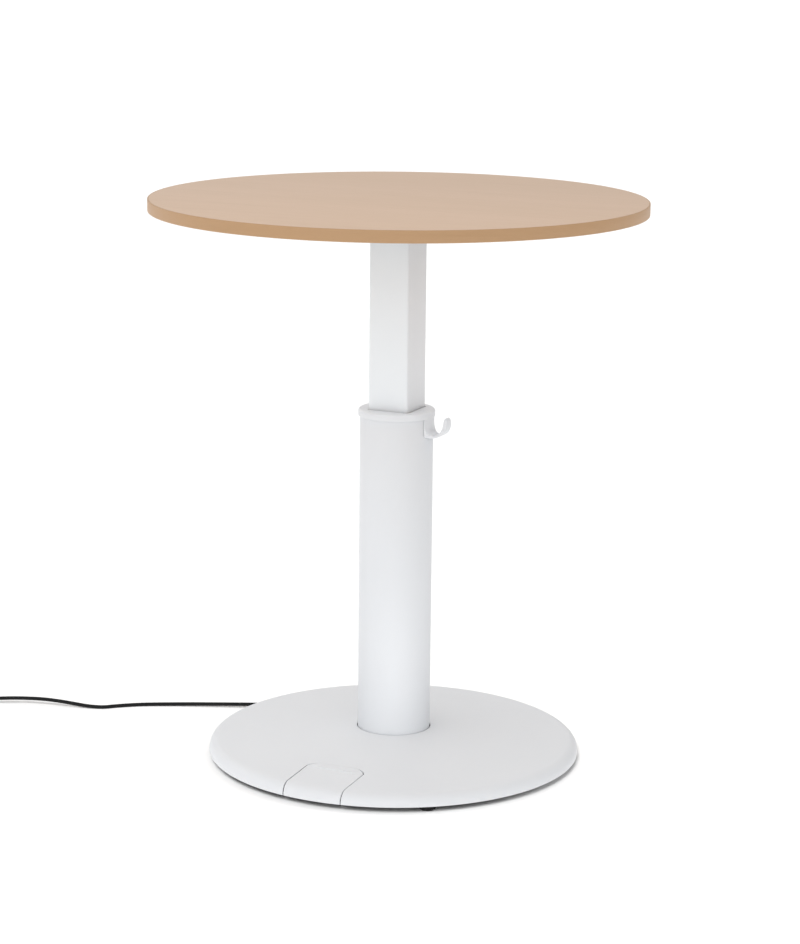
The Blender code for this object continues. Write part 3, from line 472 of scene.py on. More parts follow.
def curve_through(points, spacing):
    """Points at an even spacing on a smooth curve through the given ones."""
    pts = [Vector(p) for p in points]
    pts = [2 * pts[0] - pts[1]] + pts + [2 * pts[-1] - pts[-2]]
    fine = []
    for p0, p1, p2, p3 in zip(pts, pts[1:], pts[2:], pts[3:]):
        t0 = 0.0
        t1 = t0 + (p1 - p0).length ** 0.5
        t2 = t1 + (p2 - p1).length ** 0.5
        t3 = t2 + (p3 - p2).length ** 0.5
        for k in range(24):
            t = t1 + (t2 - t1) * k / 24
            a1 = p0 * ((t1 - t) / (t1 - t0)) + p1 * ((t - t0) / (t1 - t0))
            a2 = p1 * ((t2 - t) / (t2 - t1)) + p2 * ((t - t1) / (t2 - t1))
            a3 = p2 * ((t3 - t) / (t3 - t2)) + p3 * ((t - t2) / (t3 - t2))
            b1 = a1 * ((t2 - t) / (t2 - t0)) + a2 * ((t - t0) / (t2 - t0))
            b2 = a2 * ((t3 - t) / (t3 - t1)) + a3 * ((t - t1) / (t3 - t1))
            fine.append(b1 * ((t2 - t) / (t2 - t1)) + b2 * ((t - t1) / (t2 - t1)))
    fine.append(pts[-2])
    run = [0.0]
    for a, b in zip(fine, fine[1:]):
        run.append(run[-1] + (b - a).length)
    count = max(2, round(run[-1] / spacing))
    out, i = [], 0
    for k in range(count + 1):
        want = run[-1] * k / count
        while i < len(run) - 2 and run[i + 1] < want:
            i += 1
        span = run[i + 1] - run[i]
        out.append(fine[i].lerp(fine[i + 1], min(1.0, (want - run[i]) / span if span else 0.0)))
    return out


def smoothstep(t):
    t = min(1.0, max(0.0, t))
    return t * t * (3 - 2 * t)


# ------------------------------------------------------------------ mains lead
LEAD_DIR = Vector((-0.917, -0.399, 0.0)).normalized()
LEAD_EXIT = Vector((-214.0, 150.5, 7.3))
RELIEF_LEN = 28.0
CORD_R = 3.0
COIL = Vector((-711.4, -130.4, 0.0))
PLUG_AT = Vector((-724.4, -198.3, 9.8))
PLUG_TURN = math.radians(-64.9)
LEAD_ROUTE = [
    (-214.3, 150.4, 7.3),
    (-240, 139, 7.3),
    (-310, 108, 7.1),
    (-370, 85, 5.5),
    (-430, 60, 4.0),
    (-480, 34, 3.2),
    (-510, 10, 3.1),
    (-524, -3, 3.1),
    (-545, -12, 3.9),
    (-570, -20, 7.0),
    (-595, -29, 10.6),
    (-622, -35, 11.7),
    (-650, -42, 11.2),
    (-675, -52, 10.7),
    (-704, -70, 10.5),
    (-724, -83, 10.5),
]


def coil_points():
    """Eight turns in two layers: inwards on top, down, and outwards below.
    Angles are in degrees, anticlockwise from +X, and grow along the lead."""
    enter, leave = 135.2, 205.4
    r0, step, top, low = 42.5, 6.0, 10.5, 4.4
    end = leave + 360 * 7
    out, a = [], enter
    while a <= end + 0.01:
        if a < enter + 1080:
            lap = (a - enter) / 360
            r = r0 - step * (int(lap) + smoothstep((lap - int(lap) - 5 / 6) * 6))
            z = top
        else:
            r, z = r0 - 3 * step, top
            z -= (top - low) * smoothstep((a - (225 + 1080)) / 100)
            first = leave + 1440
            for k in range(3):
                r += step * smoothstep((a - first - 360 * k) / 60)
        out.append(COIL + Vector((r * math.cos(math.radians(a)), r * math.sin(math.radians(a)), z)))
        if a < end - 0.01:
            a = min(a + 18.0, end)
        else:
            break
    return out


turns = coil_points()
plug_x = Vector((math.cos(PLUG_TURN), math.sin(PLUG_TURN), 0))
tail = [
    turns[-1] + plug_x * 14 + Vector((0.2, 0.1, 0.1)),
    PLUG_AT + plug_x * -25 + Vector((0, 0, -4.2)),
    PLUG_AT + plug_x * -10 + Vector((0, 0, -1.4)),
    PLUG_AT + plug_x * 3,
    PLUG_AT + plug_x * 10,
]
route = curve_through([LEAD_EXIT - LEAD_DIR * 4] + LEAD_ROUTE + [turns[0], turns[1]], 16.0)
route = [p for p in route if (p - turns[0]).length > 8 and (p - turns[1]).length > 10]
line = route + turns + tail
cord_data = bpy.data.curves.new("mains_lead", "CURVE")
cord_data.dimensions = "3D"
cord_data.bevel_depth = CORD_R * MM
cord_data.bevel_resolution = 6
cord_data.resolution_u = 6
cord_data.use_fill_caps = True
spline = cord_data.splines.new("BEZIER")
spline.bezier_points.add(len(line) - 1)
for point, at in zip(spline.bezier_points, line):
    point.co = at * MM
    point.handle_left_type = point.handle_right_type = "AUTO"
cord_data.materials.append(M_CORD)
cord = bpy.data.objects.new("mains_lead", cord_data)
SCENE.collection.objects.link(cord)
bpy.context.view_layer.update()
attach(cord, "base")
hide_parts("mains_cord", "cord_coil")


def plug_mesh():
    """A moulded plug's body with finger grips. The ribbed sleeve behind it is turned and joined on outside this
    function.
    """
    rows = []
    for x, hy, hz, r in (
        (20.0, 5.0, 5.0, 3.5),
        (20.6, 8.6, 6.6, 3.5),
        (22.5, 10.8, 7.9, 3.5),
        (26.0, 12.2, 8.8, 3.5),
        (30.0, 12.7, 9.1, 3.5),
        (34.0, 12.3, 9.1, 3.5),
        (38.0, 11.7, 9.1, 3.5),
        (42.0, 11.6, 9.1, 3.5),
        (45.5, 12.2, 9.1, 3.5),
        (48.0, 12.9, 9.2, 3.2),
        (53.0, 12.9, 9.2, 3.2),
        (53.8, 12.5, 8.8, 2.8),
        (54.0, 11.7, 8.0, 2.2),
    ):
        rows.append([(x, y, z) for y, z in rounded(hy, hz, r, 6)])
    return loft(rows)


def put(bm, matrix):
    bmesh.ops.transform(bm, matrix=matrix, verts=bm.verts)
    return bm


def together(*parts):
    out = bmesh.new()
    for part in parts:
        bmesh.ops.recalc_face_normals(part, faces=part.faces)
        mesh = bpy.data.meshes.new("part")
        part.to_mesh(mesh)
        part.free()
        out.from_mesh(mesh)
        bpy.data.meshes.remove(mesh)
    return out


LAY = Matrix.Rotation(math.pi / 2, 4, "Y")  # local Z becomes +X
plug_frame = Matrix.Translation(PLUG_AT) @ Matrix.Rotation(PLUG_TURN, 4, "Z")
sleeve = [(0, 0), (3.7, 0), (4.0, 0.4)]
for k in range(6):
    a = 1.6 + 3.1 * k
    rr = 4.1 + 0.36 * k
    sleeve += [(rr, a), (rr, a + 1.5), (rr - 0.7, a + 1.8), (rr - 0.7, a + 2.8)]
sleeve += [(6.4, 20.4), (6.6, 23.5), (0, 23.5)]
plug_body = piece(
    "plug_body",
    put(together(plug_mesh(), put(lathe(sleeve, 32), LAY)), plug_frame),
    M_BLACK_PLASTIC,
    "base",
    ["plug"],
)


def blade(y):
    rows = []
    for x, hz in ((52.5, 3.15), (69.6, 3.15), (70.6, 2.7), (71.0, 2.0)):
        rows.append([(x, y + b, c) for b, c in rounded(0.75, hz, 0.3, 3)])
    return loft(rows)


pins = piece(
    "plug_blades",
    put(together(blade(-6.35), blade(6.35)), plug_frame),
    M_BRASS,
    "base",
)

relief = [(0, 0), (5.0, 0), (5.0, 2.6), (4.8, 3.0)]
for k in range(7):
    a = 3.6 + 3.2 * k
    rr = 4.75 - 0.15 * k
    relief += [(rr - 0.75, a), (rr - 0.75, a + 0.9), (rr, a + 1.1), (rr - 0.05, a + 3.0)]
relief += [(3.75, 26.6), (3.4, RELIEF_LEN), (0, RELIEF_LEN)]
relief_frame = (
    Matrix.Translation(LEAD_EXIT - LEAD_DIR * RELIEF_LEN)
    @ LEAD_DIR.to_track_quat("Z", "Y").to_matrix().to_4x4()
)
piece(
    "lead_sleeve",
    put(lathe(relief, 32), relief_frame),
    M_CORD,
    "base",
    ["strain_relief"],
)


def strap_mesh():
    """The coil's tie: a soft band that goes round the bundle."""
    outer = [(33.2 + x, 7.45 + z) for x, z in rounded(13.4, 7.15, 5.2, 8)]
    inner = [(33.2 + x, 7.45 + z) for x, z in rounded(12.75, 6.5, 4.6, 8)]
    rows = []
    for y, shift in ((-5.0, 0.12), (-4.7, 0.0), (4.7, 0.0), (5.0, 0.12)):
        rows.append(
            [
                (ox + (ix - ox) * shift, y, oz + (iz - oz) * shift)
                for (ox, oz), (ix, iz) in zip(outer, inner)
            ]
        )
    for y, shift in ((5.0, 0.88), (-5.0, 0.88)):
        rows.append(
            [
                (ox + (ix - ox) * shift, y, oz + (iz - oz) * shift)
                for (ox, oz), (ix, iz) in zip(outer, inner)
            ]
        )
    bm = bmesh.new()
    made = [[bm.verts.new(p) for p in row] for row in rows]
    n = len(outer)
    for a, b in zip(made, made[1:] + made[:1]):
        for k in range(n):
            m = (k + 1) % n
            bm.faces.new((a[k], a[m], b[m], b[k]))
    return bm


tie = piece(
    "coil_strap",
    put(strap_mesh(), Matrix.Translation(COIL) @ Matrix.Rotation(math.radians(329.7), 4, "Z")),
    M_BLACK_PLASTIC,
    "base",
    ["cord_tie"],
)

# ------------------------------------------------------------------ tabletop
TABLE_H, TOP_R, TOP_T, BAND_T = 870.0, 375.0, 18.0, 2.0
core_z0 = TABLE_H - TOP_T
face_profile = softened(
    [(0, TABLE_H), (TOP_R - BAND_T - 0.06, TABLE_H), (TOP_R - BAND_T - 0.06, TABLE_H - 0.8), (0, TABLE_H - 0.8)],
    [0, 0.10, 0, 0],
    3,
)
piece("table_face", lathe(face_profile, 320), M_FACE, "lift", ["tabletop_face"], 25)
band_profile = softened(
    [
        (TOP_R - BAND_T, TABLE_H),
        (TOP_R, TABLE_H),
        (TOP_R, core_z0),
        (TOP_R - BAND_T, core_z0),
    ],
    [0.10, 0.8, 0.8, 0.10],
    5,
)
piece("table_edge", lathe(band_profile, 320), M_EDGE, "lift", ["edge_band"], 25)
core = lathe(
    [(0, core_z0), (TOP_R - BAND_T - 0.08, core_z0), (TOP_R - BAND_T - 0.08, TABLE_H - 0.9), (0, TABLE_H - 0.9)],
    320,
)
piece("table_core", core, M_BOARD, "lift", ["tabletop_core"], 25)

# ------------------------------------------------------------------ column
OUTER_R, OUTER_TOP, FLOOR_Z = 55.9, 548.2, 21.3
tube_profile = softened(
    [(OUTER_R, FLOOR_Z), (OUTER_R, OUTER_TOP), (OUTER_R - 3, OUTER_TOP), (OUTER_R - 3, FLOOR_Z)],
    [0.4, 0.6, 0.4, 0.4],
    3,
)
outer_tube = piece("column_outer", lathe(tube_profile, 192), M_TUBE, "base", ["outer_tube"])

INNER_HALF, INNER_CORNER, INNER_Z0, INNER_Z1 = 32.8, 3.5, 220.0, TABLE_H - TOP_T - 5.6
outline = rounded(INNER_HALF, INNER_HALF, INNER_CORNER, 12)
hollow = rounded(INNER_HALF - 2.5, INNER_HALF - 2.5, 1.2, 12)


def square_tube(levels):
    """Outside and inside walls of a square tube, with its ends closed."""
    bm = bmesh.new()
    out = [[bm.verts.new((x, y, z)) for x, y in outline] for z in levels]
    ins = [[bm.verts.new((x, y, z)) for x, y in hollow] for z in (levels[0], levels[-1])]
    n = len(outline)
    for rows in (out, ins):
        for a, b in zip(rows, rows[1:]):
            for k in range(n):
                m = (k + 1) % n
                bm.faces.new((a[k], a[m], b[m], b[k]))
    for a, b in ((out[0], ins[0]), (out[-1], ins[-1])):
        for k in range(n):
            m = (k + 1) % n
            bm.faces.new((a[k], a[m], b[m], b[k]))
    return bm


inner_tube = piece(
    "column_inner",
    square_tube([INNER_Z0, INNER_Z1]),
    M_PAINT,
    "lift",
    ["inner_tube"],
)

# ------------------------------------------------------------------ collar and hook
COLLAR_R, COLLAR_TOP, SKIRT_Z = 58.6, 551.3, 540.3
collar_profile = softened(
    [
        (0, COLLAR_TOP),
        (COLLAR_R, COLLAR_TOP - 0.35),
        (COLLAR_R, SKIRT_Z),
        (OUTER_R + 0.3, SKIRT_Z),
        (OUTER_R + 0.3, COLLAR_TOP - 2.8),
        (0, COLLAR_TOP - 2.8),
    ],
    [0, 3.6, 0.9, 0.4, 0, 0],
    8,
)

# each station along the hook: under or outer edge, inner edge, as (distance
# from the axis, height, half width, how far it follows the tube's curve, rise)
HOOK = [
    ((56.4, 546.0, 18.5, 1.0, 0.0), (57.7, 546.0, 18.5, 1.0, 0.0)),
    ((56.4, 530.0, 18.5, 1.0, 0.0), (57.7, 535.0, 18.5, 1.0, 0.0)),
    ((56.4, 518.0, 18.5, 1.0, 0.0), (58.1, 527.5, 18.1, 1.0, 0.0)),
    ((56.4, 509.7, 17.8, 1.0, 4.0), (59.7, 521.2, 16.8, 0.8, -0.6)),
    ((59.6, 509.0, 16.4, 0.9, 4.0), (61.2, 518.9, 15.9, 0.65, -1.0)),
    ((64.0, 510.2, 14.2, 0.5, 1.6), (63.6, 517.2, 14.4, 0.45, -1.2)),
    ((70.0, 512.2, 12.0, 0.15, 0.3), (67.7, 516.5, 12.6, 0.2, -0.8)),
    ((76.0, 515.0, 10.6, 0.0, 0.0), (72.3, 518.0, 11.1, 0.05, 0.0)),
    ((81.5, 519.0, 10.0, 0.0, 0.0), (76.5, 521.3, 10.2, 0.0, 0.0)),
    ((85.2, 524.6, 9.8, 0.0, 0.0), (79.4, 526.5, 9.8, 0.0, 0.0)),
    ((86.9, 531.0, 9.7, 0.0, 0.0), (80.9, 532.0, 9.7, 0.0, 0.0)),
    ((86.9, 537.3, 9.0, 0.0, 0.0), (81.6, 538.0, 9.0, 0.0, 0.0)),
    ((85.9, 541.6, 6.8, 0.0, 0.0), (82.5, 541.9, 6.8, 0.0, 0.0)),
    ((84.6, 543.3, 4.4, 0.0, 0.0), (84.0, 543.3, 4.4, 0.0, 0.0)),
]


def through(values, t):
    """A smooth curve through a list of tuples, at t from 0 to its last index."""
    i = min(int(t), len(values) - 2)
    f = t - i
    p = [values[max(0, i - 1)], values[i], values[i + 1], values[min(len(values) - 1, i + 2)]]
    out = []
    for a, b, c, d in zip(*p):
        m0, m1 = (c - a) / 2, (d - b) / 2
        out.append(
            (2 * f**3 - 3 * f**2 + 1) * b
            + (f**3 - 2 * f**2 + f) * m0
            + (3 * f**2 - 2 * f**3) * c
            + (f**3 - f**2) * m1
        )
    return out


def hook_rows(steps=6, across=16, round_steps=5):
    unders, inners = [s[0] for s in HOOK], [s[1] for s in HOOK]
    rows = []
    total = (len(HOOK) - 1) * steps
    for k in range(total + 1):
        t = k / steps
        o, i = through(unders, t), through(inners, t)
        thick = math.hypot(o[0] - i[0], o[1] - i[1])
        half = min(o[2], i[2])
        r = min(1.3, thick * 0.48, half * 0.5)
        loop = []
        # a section seen along the strip: b runs across its width, a through it
        flat = half - r
        marks = [flat * (-1 + 2 * j / across) for j in range(across + 1)]
        for y in marks:
            loop.append((y, 0.0))
        for j in range(1, round_steps):
            q = math.pi / 2 * j / round_steps
            loop.append((flat + r * math.sin(q), (r - r * math.cos(q)) / thick))
        loop.append((half, r / thick))
        loop.append((half, 1 - r / thick))
        for j in range(1, round_steps):
            q = math.pi / 2 * j / round_steps
            loop.append((flat + r * math.cos(q), 1 - (r - r * math.sin(q)) / thick))
        for y in reversed(marks):
            loop.append((y, 1.0))
        for j in range(1, round_steps):
            q = math.pi / 2 * j / round_steps
            loop.append((-flat - r * math.sin(q), 1 - (r - r * math.cos(q)) / thick))
        loop.append((-half, 1 - r / thick))
        loop.append((-half, r / thick))
        for j in range(1, round_steps):
            q = math.pi / 2 * j / round_steps
            loop.append((-flat - r * math.cos(q), (r - r * math.sin(q)) / thick))
        row = []
        for y, a in loop:
            x = o[0] + (i[0] - o[0]) * a
            z = o[1] + (i[1] - o[1]) * a
            follow = o[3] + (i[3] - o[3]) * a
            rise = o[4] + (i[4] - o[4]) * a
            sag = x - math.sqrt(x * x - y * y)
            row.append((x - follow * sag, y, z + rise * (y / half) ** 2))
        rows.append(row)
    return rows


collar = piece(
    "collar_and_hook",
    lathe(collar_profile, 192, math.pi / 192),
    M_PLASTIC,
    "base",
    ["collar"],
    35,
)
applied(
    collar,
    helper(prism(rounded(INNER_HALF + 1.9, INNER_HALF + 1.9, INNER_CORNER + 1.9, 10), 540, 560)),
    "DIFFERENCE",
)
applied(collar, helper(loft(hook_rows())), "UNION")
collar.data.shade_smooth()
collar.data.set_sharp_from_angle(angle=math.radians(35))

# ------------------------------------------------------------------ base cover
BASE_R, LIP_Z, FILLET, COVER_T = 286.7, 12.0, 16.5, 2.0
DOME_R0, DOME_Z0, DOME_A, DOME_B = 57.9, 48.7, 0.0952, 0.000057
HOLE_R = 57.0


def dome(r):
    return DOME_Z0 - DOME_A * (r - DOME_R0) + DOME_B * (r - DOME_R0) ** 2


rim_r = BASE_R - FILLET
for _ in range(40):
    slope = math.atan(DOME_A - 2 * DOME_B * (rim_r - DOME_R0))
    rim_r = BASE_R - FILLET + FILLET * math.sin(slope)
RIM_SLOPE = math.atan(DOME_A - 2 * DOME_B * (rim_r - DOME_R0))
RIM_CX, RIM_CZ = BASE_R - FILLET, dome(rim_r) - FILLET * math.cos(RIM_SLOPE)
RIM_R = rim_r


def rim(inset, t):
    a = RIM_SLOPE + (math.pi / 2 - RIM_SLOPE) * t
    q = FILLET - inset
    return RIM_CX + q * math.sin(a), RIM_CZ + q * math.cos(a)


def cover_profile():
    line = []
    # rolled edge of the centre hole
    for k in range(5):
        a = math.pi / 2 * k / 4
        line.append((HOLE_R + 0.6 - 0.6 * math.cos(a), dome(HOLE_R + 0.6) - 0.6 + 0.6 * math.sin(a)))
    for k in range(1, 36):
        r = HOLE_R + 0.6 + (RIM_R - HOLE_R - 0.6) * k / 36
        line.append((r, dome(r)))
    for k in range(19):
        line.append(rim(0.0, k / 18))
    line += [(BASE_R, LIP_Z + 0.5), (BASE_R - 0.15, LIP_Z + 0.15), (BASE_R - 0.5, LIP_Z)]
    line += [(BASE_R - COVER_T + 0.4, LIP_Z), (BASE_R - COVER_T, LIP_Z + 0.4)]
    for k in range(9):
        line.append(rim(COVER_T, 1 - k / 8))
    for k in range(1, 17):
        r = RIM_R - (RIM_R - HOLE_R) * k / 16
        line.append((r, dome(r) - COVER_T))
    return line


PEDAL_HALF, PEDAL_GAP, PEDAL_IN, PEDAL_IN_GAP = 46.4, 1.65, 190.9, 1.4
PEDAL_ARC, PEDAL_ARC_X, PEDAL_STEP_Y, PEDAL_STEP = 25.3, 24.1, 207.8, 1.7
cover = piece(
    "base_shell",
    lathe(cover_profile(), 360, math.pi / 360),
    M_PAINT,
    "base",
    ["base_cover"],
    30,
)
notch, notch_r = PEDAL_HALF + PEDAL_GAP, PEDAL_ARC + PEDAL_IN_GAP
notch_a = math.acos((notch - PEDAL_ARC_X) / notch_r)
corner = [(notch, -330.0)]
for k in range(25):
    a = notch_a + (math.pi / 2 - notch_a) * k / 24
    corner.append(
        (PEDAL_ARC_X + notch_r * math.cos(a), -PEDAL_IN - PEDAL_ARC + notch_r * math.sin(a))
    )
notch_outline = corner + [(-x, y) for x, y in reversed(corner)]
applied(cover, helper(prism(notch_outline, -20, 80)), "DIFFERENCE")
cover.data.shade_smooth()
cover.data.set_sharp_from_angle(angle=math.radians(30))


# ------------------------------------------------------------------ pedal
def pedal_rows():
    """Points of the panel's upper and lower faces, in columns across it."""
    thick, edge = 2.2, 0.6
    half = PEDAL_HALF
    sides = [0.0, 0.04, 0.12, 0.26, 0.42, 0.6, 1.2, 2.2, 3.3, 4.4]
    xs = [-half + s for s in sides]
    count = 28
    xs += [-half + 5.5 + (2 * half - 11.0) * k / count for k in range(count + 1)]
    xs += [half - s for s in reversed(sides)]

    def ridge(x, y, y0):
        # the panel stands a little above the cover inside of a low step
        ends = smoothstep((46.0 - 0.5 * (y - PEDAL_IN) - abs(x)) / 10.0)
        if y <= PEDAL_STEP_Y:
            return ends * (0.65 + 0.75 * (y - y0) / (PEDAL_STEP_Y - y0))
        return ends * 1.4 * (1 - smoothstep((y - PEDAL_STEP_Y) / PEDAL_STEP))

    def rounding(d):
        return 0.0 if d >= edge else edge - math.sqrt(max(0.0, edge * edge - (edge - d) ** 2))

    top, low = [], []
    for x in xs:
        into = max(0.0, abs(x) - PEDAL_ARC_X)
        steep = math.sqrt(PEDAL_ARC**2 - into**2) / PEDAL_ARC
        y0 = PEDAL_IN + PEDAL_ARC * (1 - steep)
        ys = [y0 + m for m in (0.0, 0.04, 0.12, 0.26, 0.42, 0.6, 1.0, 1.8)]
        ys += [ys[-1] + (PEDAL_STEP_Y - ys[-1]) * k / 6 for k in range(1, 6)]
        ys += [PEDAL_STEP_Y + PEDAL_STEP * k / 10 for k in range(11)]
        ys += [PEDAL_STEP_Y + m for m in (2.2, 3.2, 5.0, 8.0, 12.0)]
        a, b = [], []
        side_drop = rounding(half - abs(x))
        for y in ys:
            z = dome(math.hypot(x, y)) + ridge(x, y, y0)
            drop = max(side_drop, rounding((y - y0) * steep))
            a.append((x, -y, z - drop))
            b.append((x, -y, z - thick))
        stop = math.sqrt(RIM_R**2 - x * x)
        first = ys[-1]
        for k in range(1, 9):
            y = first + (stop - first) * k / 9
            z = dome(math.hypot(x, y))
            a.append((x, -y, z - side_drop))
            b.append((x, -y, z - thick))
        for k in range(19):
            r, z = rim(side_drop, k / 18)
            a.append((x, -math.sqrt(r * r - x * x), z))
            r, z = rim(thick, k / 18)
            b.append((x, -math.sqrt(r * r - x * x), z))
        for inset, z in ((0.0, LIP_Z + 0.5), (0.15, LIP_Z + 0.15), (0.5, LIP_Z)):
            r = BASE_R - max(inset, side_drop)
            a.append((x, -math.sqrt(r * r - x * x), z))
            r = BASE_R - thick
            b.append((x, -math.sqrt(r * r - x * x), z))
        top.append(a)
        low.append(b)
    return top, low


def pedal_mesh():
    top, low = pedal_rows()
    bm = bmesh.new()
    up_ = [[bm.verts.new(p) for p in col] for col in top]
    dn = [[bm.verts.new(p) for p in col] for col in low]
    n = len(up_[0])
    for grid in (up_, dn):
        for a, b in zip(grid, grid[1:]):
            for i in range(n - 1):
                bm.faces.new((a[i], a[i + 1], b[i + 1], b[i]))
    for a, b in ((up_[0], dn[0]), (up_[-1], dn[-1])):
        for i in range(n - 1):
            bm.faces.new((a[i], b[i], b[i + 1], a[i + 1]))
    for i in (0, n - 1):
        for a, b, c, d in zip(up_, up_[1:], dn, dn[1:]):
            bm.faces.new((a[i], b[i], d[i], c[i]))
    bmesh.ops.recalc_face_normals(bm, faces=bm.faces)
    return bm


pedal = piece("foot_pedal", pedal_mesh(), M_PAINT, "pedal", ["pedal"], 40)
for sx in (-1, 1):
    ear = [(-219.5, 23.6), (-208.5, 23.6), (-208.5, 33.9), (-219.5, 33.9)]
    bm = bmesh.new()
    face = bm.faces.new([bm.verts.new((sx * 33, y, z)) for y, z in ear])
    raised = bmesh.ops.extrude_face_region(bm, geom=[face])["geom"]
    bmesh.ops.translate(
        bm, vec=(sx * 3.5, 0, 0), verts=[v for v in raised if isinstance(v, bmesh.types.BMVert)]
    )
    applied(pedal, helper(bm), "UNION")
bore = bmesh.new()
bmesh.ops.create_cone(bore, cap_ends=True, segments=32, radius1=2.3, radius2=2.3, depth=90)
put(bore, Matrix.Translation((0, -214, 27)) @ Matrix.Rotation(math.pi / 2, 4, "Y"))
applied(pedal, helper(bore), "DIFFERENCE")
pedal.data.shade_smooth()
pedal.data.set_sharp_from_angle(angle=math.radians(40))

# ------------------------------------------------------------------ feet
FOOT_ANGLES = [-53.7, 18.3, 90.3, 162.3, 234.3]
FOOT_RING_R = 262.0
foot_profile = softened(
    [
        (5.4, 0.0),
        (9.2, 0.0),
        (11.8, 2.2),
        (12.8, 6.4),
        (12.6, 12.7),
        (2.9, 12.7),
        (2.9, 5.0),
        (5.4, 5.0),
    ],
    [0.4, 1.6, 3.0, 4.0, 0.5, 0, 0.2, 0.2],
    5,
)
for i, angle in enumerate(FOOT_ANGLES):
    a = math.radians(angle)
    foot = lathe(foot_profile, 64)
    put(foot, Matrix.Translation((FOOT_RING_R * math.cos(a), FOOT_RING_R * math.sin(a), 0)))
    piece(f"rubber_foot_{i + 1}", foot, M_RUBBER, "base", [f"foot_{i + 1}"], 40)

# ------------------------------------------------------------------ studio
floor_bm = bmesh.new()
bmesh.ops.create_grid(floor_bm, x_segments=2, y_segments=2, size=30)
floor_mesh = bpy.data.meshes.new("floor")
floor_bm.to_mesh(floor_mesh)
floor_bm.free()
floor = bpy.data.objects.new("floor", floor_mesh)
SCENE.collection.objects.link(floor)
pale = bpy.data.materials.new("pale_floor")
pale.use_nodes = True
pale.node_tree.nodes["Principled BSDF"].inputs["Base Color"].default_value = (0.93, 0.93, 0.93, 1)
pale.node_tree.nodes["Principled BSDF"].inputs["Roughness"].default_value = 0.9
pale.node_tree.nodes["Principled BSDF"].inputs["Specular IOR Level"].default_value = 0.2
floor_mesh.materials.append(pale)

def softbox(name, at, toward, size, power):
    """A square area light. at and toward are seen from the camera: right,
    away from it and up, in metres from the column's foot."""
    data = bpy.data.lights.new(name, "AREA")
    data.shape, data.size, data.energy = "SQUARE", size, power
    light = bpy.data.objects.new(name, data)
    SCENE.collection.objects.link(light)
    a, b = (side * p[0] + away * p[1] + up * p[2] for p in (at, toward))
    light.location = a
    light.rotation_mode = "QUATERNION"
    light.rotation_quaternion = (a - b).to_track_quat("Z", "Y")
    return light


def studio_sky(base, *lobes):
    """A white tent round the table: an even base, and a soft lobe of light
    from each direction."""
    world = bpy.data.worlds.new("studio")
    world.use_nodes = True
    tree = world.node_tree
    toward = tree.nodes.new("ShaderNodeTexCoord").outputs["Generated"]
    total = None
    for direction, strength in lobes:
        dot = tree.nodes.new("ShaderNodeVectorMath")
        dot.operation = "DOT_PRODUCT"
        tree.links.new(toward, dot.inputs[0])
        dot.inputs[1].default_value = direction.normalized()
        front = tree.nodes.new("ShaderNodeMath")
        front.operation = "MAXIMUM"
        front.inputs[1].default_value = 0
        tree.links.new(dot.outputs["Value"], front.inputs[0])
        add = tree.nodes.new("ShaderNodeMath")
        add.operation = "MULTIPLY_ADD"
        tree.links.new(front.outputs[0], add.inputs[0])
        add.inputs[1].default_value = strength
        add.inputs[2].default_value = base
        if total is not None:
            tree.links.new(total, add.inputs[2])
        total = add.outputs[0]
    # the tent itself is white to the eye, however little light a part of it gives
    seen = tree.nodes.new("ShaderNodeMath")
    seen.operation = "MAXIMUM"
    tree.links.new(total, seen.inputs[0])
    tree.links.new(tree.nodes.new("ShaderNodeLightPath").outputs["Is Camera Ray"], seen.inputs[1])
    tree.nodes["Background"].inputs["Color"].default_value = (1, 1, 1, 1)
    tree.links.new(seen.outputs[0], tree.nodes["Background"].inputs["Strength"])
    SCENE.world = world
    return world


world = studio_sky(0.0, (-side, 0.439), (-away, 0.572), (away, 0.426), (up, 0.207))


def group(name, objects):
    found = bpy.data.collections.new(name)
    for obj in objects:
        found.objects.link(obj)
    return found


def height_of(obj):
    return max((obj.matrix_world @ Vector(c)).z for c in obj.bound_box)


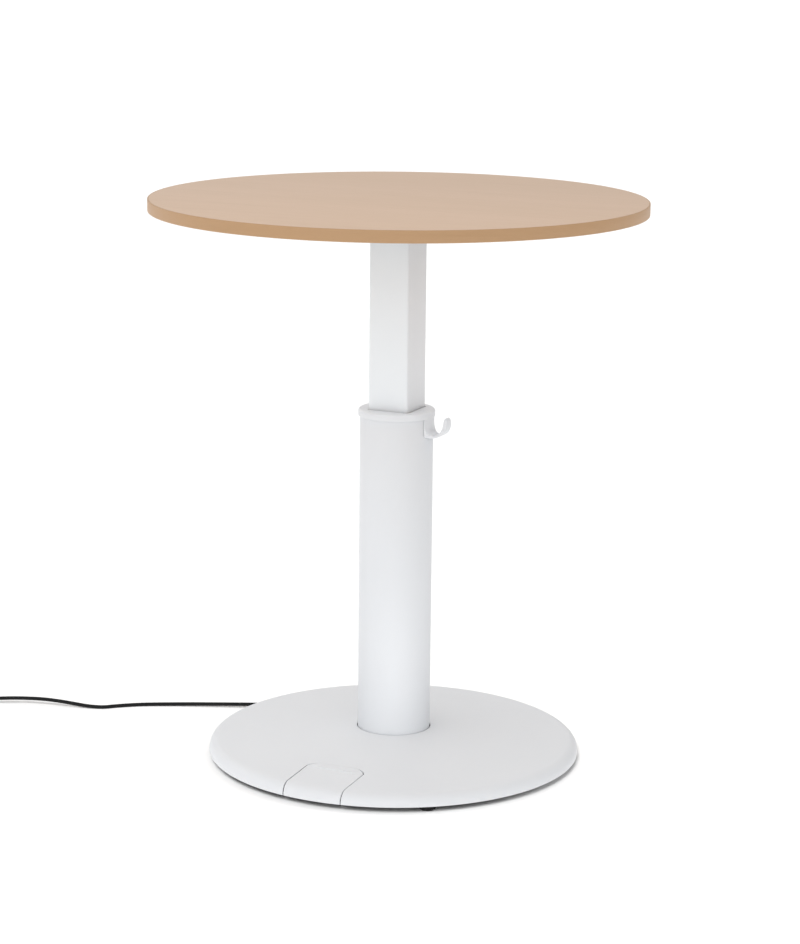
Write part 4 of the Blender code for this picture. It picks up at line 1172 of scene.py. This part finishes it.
def soft_sun(name, toward, strength, angle, receivers, blockers=None, colour=(1, 1, 1)):
    """A distant soft lamp for some of the objects. toward points at it, as
    seen from the camera: right, away from it and up."""
    sun = bpy.data.objects.new(name, bpy.data.lights.new(name, "SUN"))
    sun.data.energy, sun.data.angle = strength, math.radians(angle)
    sun.data.color = colour
    sun.rotation_mode = "QUATERNION"
    sun.rotation_quaternion = (
        side * toward[0] + away * toward[1] + up * toward[2]
    ).to_track_quat("Z", "Y")
    SCENE.collection.objects.link(sun)
    sun.light_linking.receiver_collection = receivers
    if blockers is not None:
        sun.light_linking.blocker_collection = blockers


table = [o for o in SCENE.objects if o.type in ("MESH", "CURVE") and o is not floor]
on_floor = group("floor_only", [floor])
on_table = group("table_only", table)
# the lamps that keep the floor white up to the base's edge: only the base and
# the lead shade them
low_parts = group("shades_floor_lamps", [o for o in table if height_of(o) < 0.12])
soft_sun("floor_front", (-0.2, -1.3, 1.0), 2.845, 18, on_floor, low_parts)
soft_sun("floor_front_low", (0.0, -2.0, 1.0), 0.696, 16, on_floor, low_parts)
soft_sun("floor_right", (2.0, -0.5, 1.0), 0.878, 24, on_floor, low_parts)
soft_sun("table_top", (0.0, 0.0, 1.0), 1.66, 150, on_table)
soft_sun("table_left", (-1.0, -0.8, 0.8), 0.06, 60, on_table)
# what white boards near the table would throw back: on the collar's top, on
# the square tube below the top, and on the foot of the round tube
column = group("column", [collar, inner_tube])
soft_sun("collar_fill", (0.0, -0.1, 1.0), 0.95, 50, group("collar_only", [collar]), column, (0.66, 0.84, 1.0))
soft_sun("tube_fill", (-0.8, -0.7, -0.3), 0.36, 50, group("tube_only", [inner_tube]), column, (0.80, 0.98, 1.0))
foot_fill = softbox("foot_fill", (0.02, -0.25, 0.06), (0, 0, 0.05), 0.26, 0.15)
foot_fill.visible_camera = False
foot_fill.light_linking.receiver_collection = group("outer_only", [outer_tube])

SCENE.view_settings.view_transform = "Standard"
SCENE.view_settings.look = "None"
SCENE.view_settings.exposure = 0.0
SCENE.view_settings.gamma = 1.0
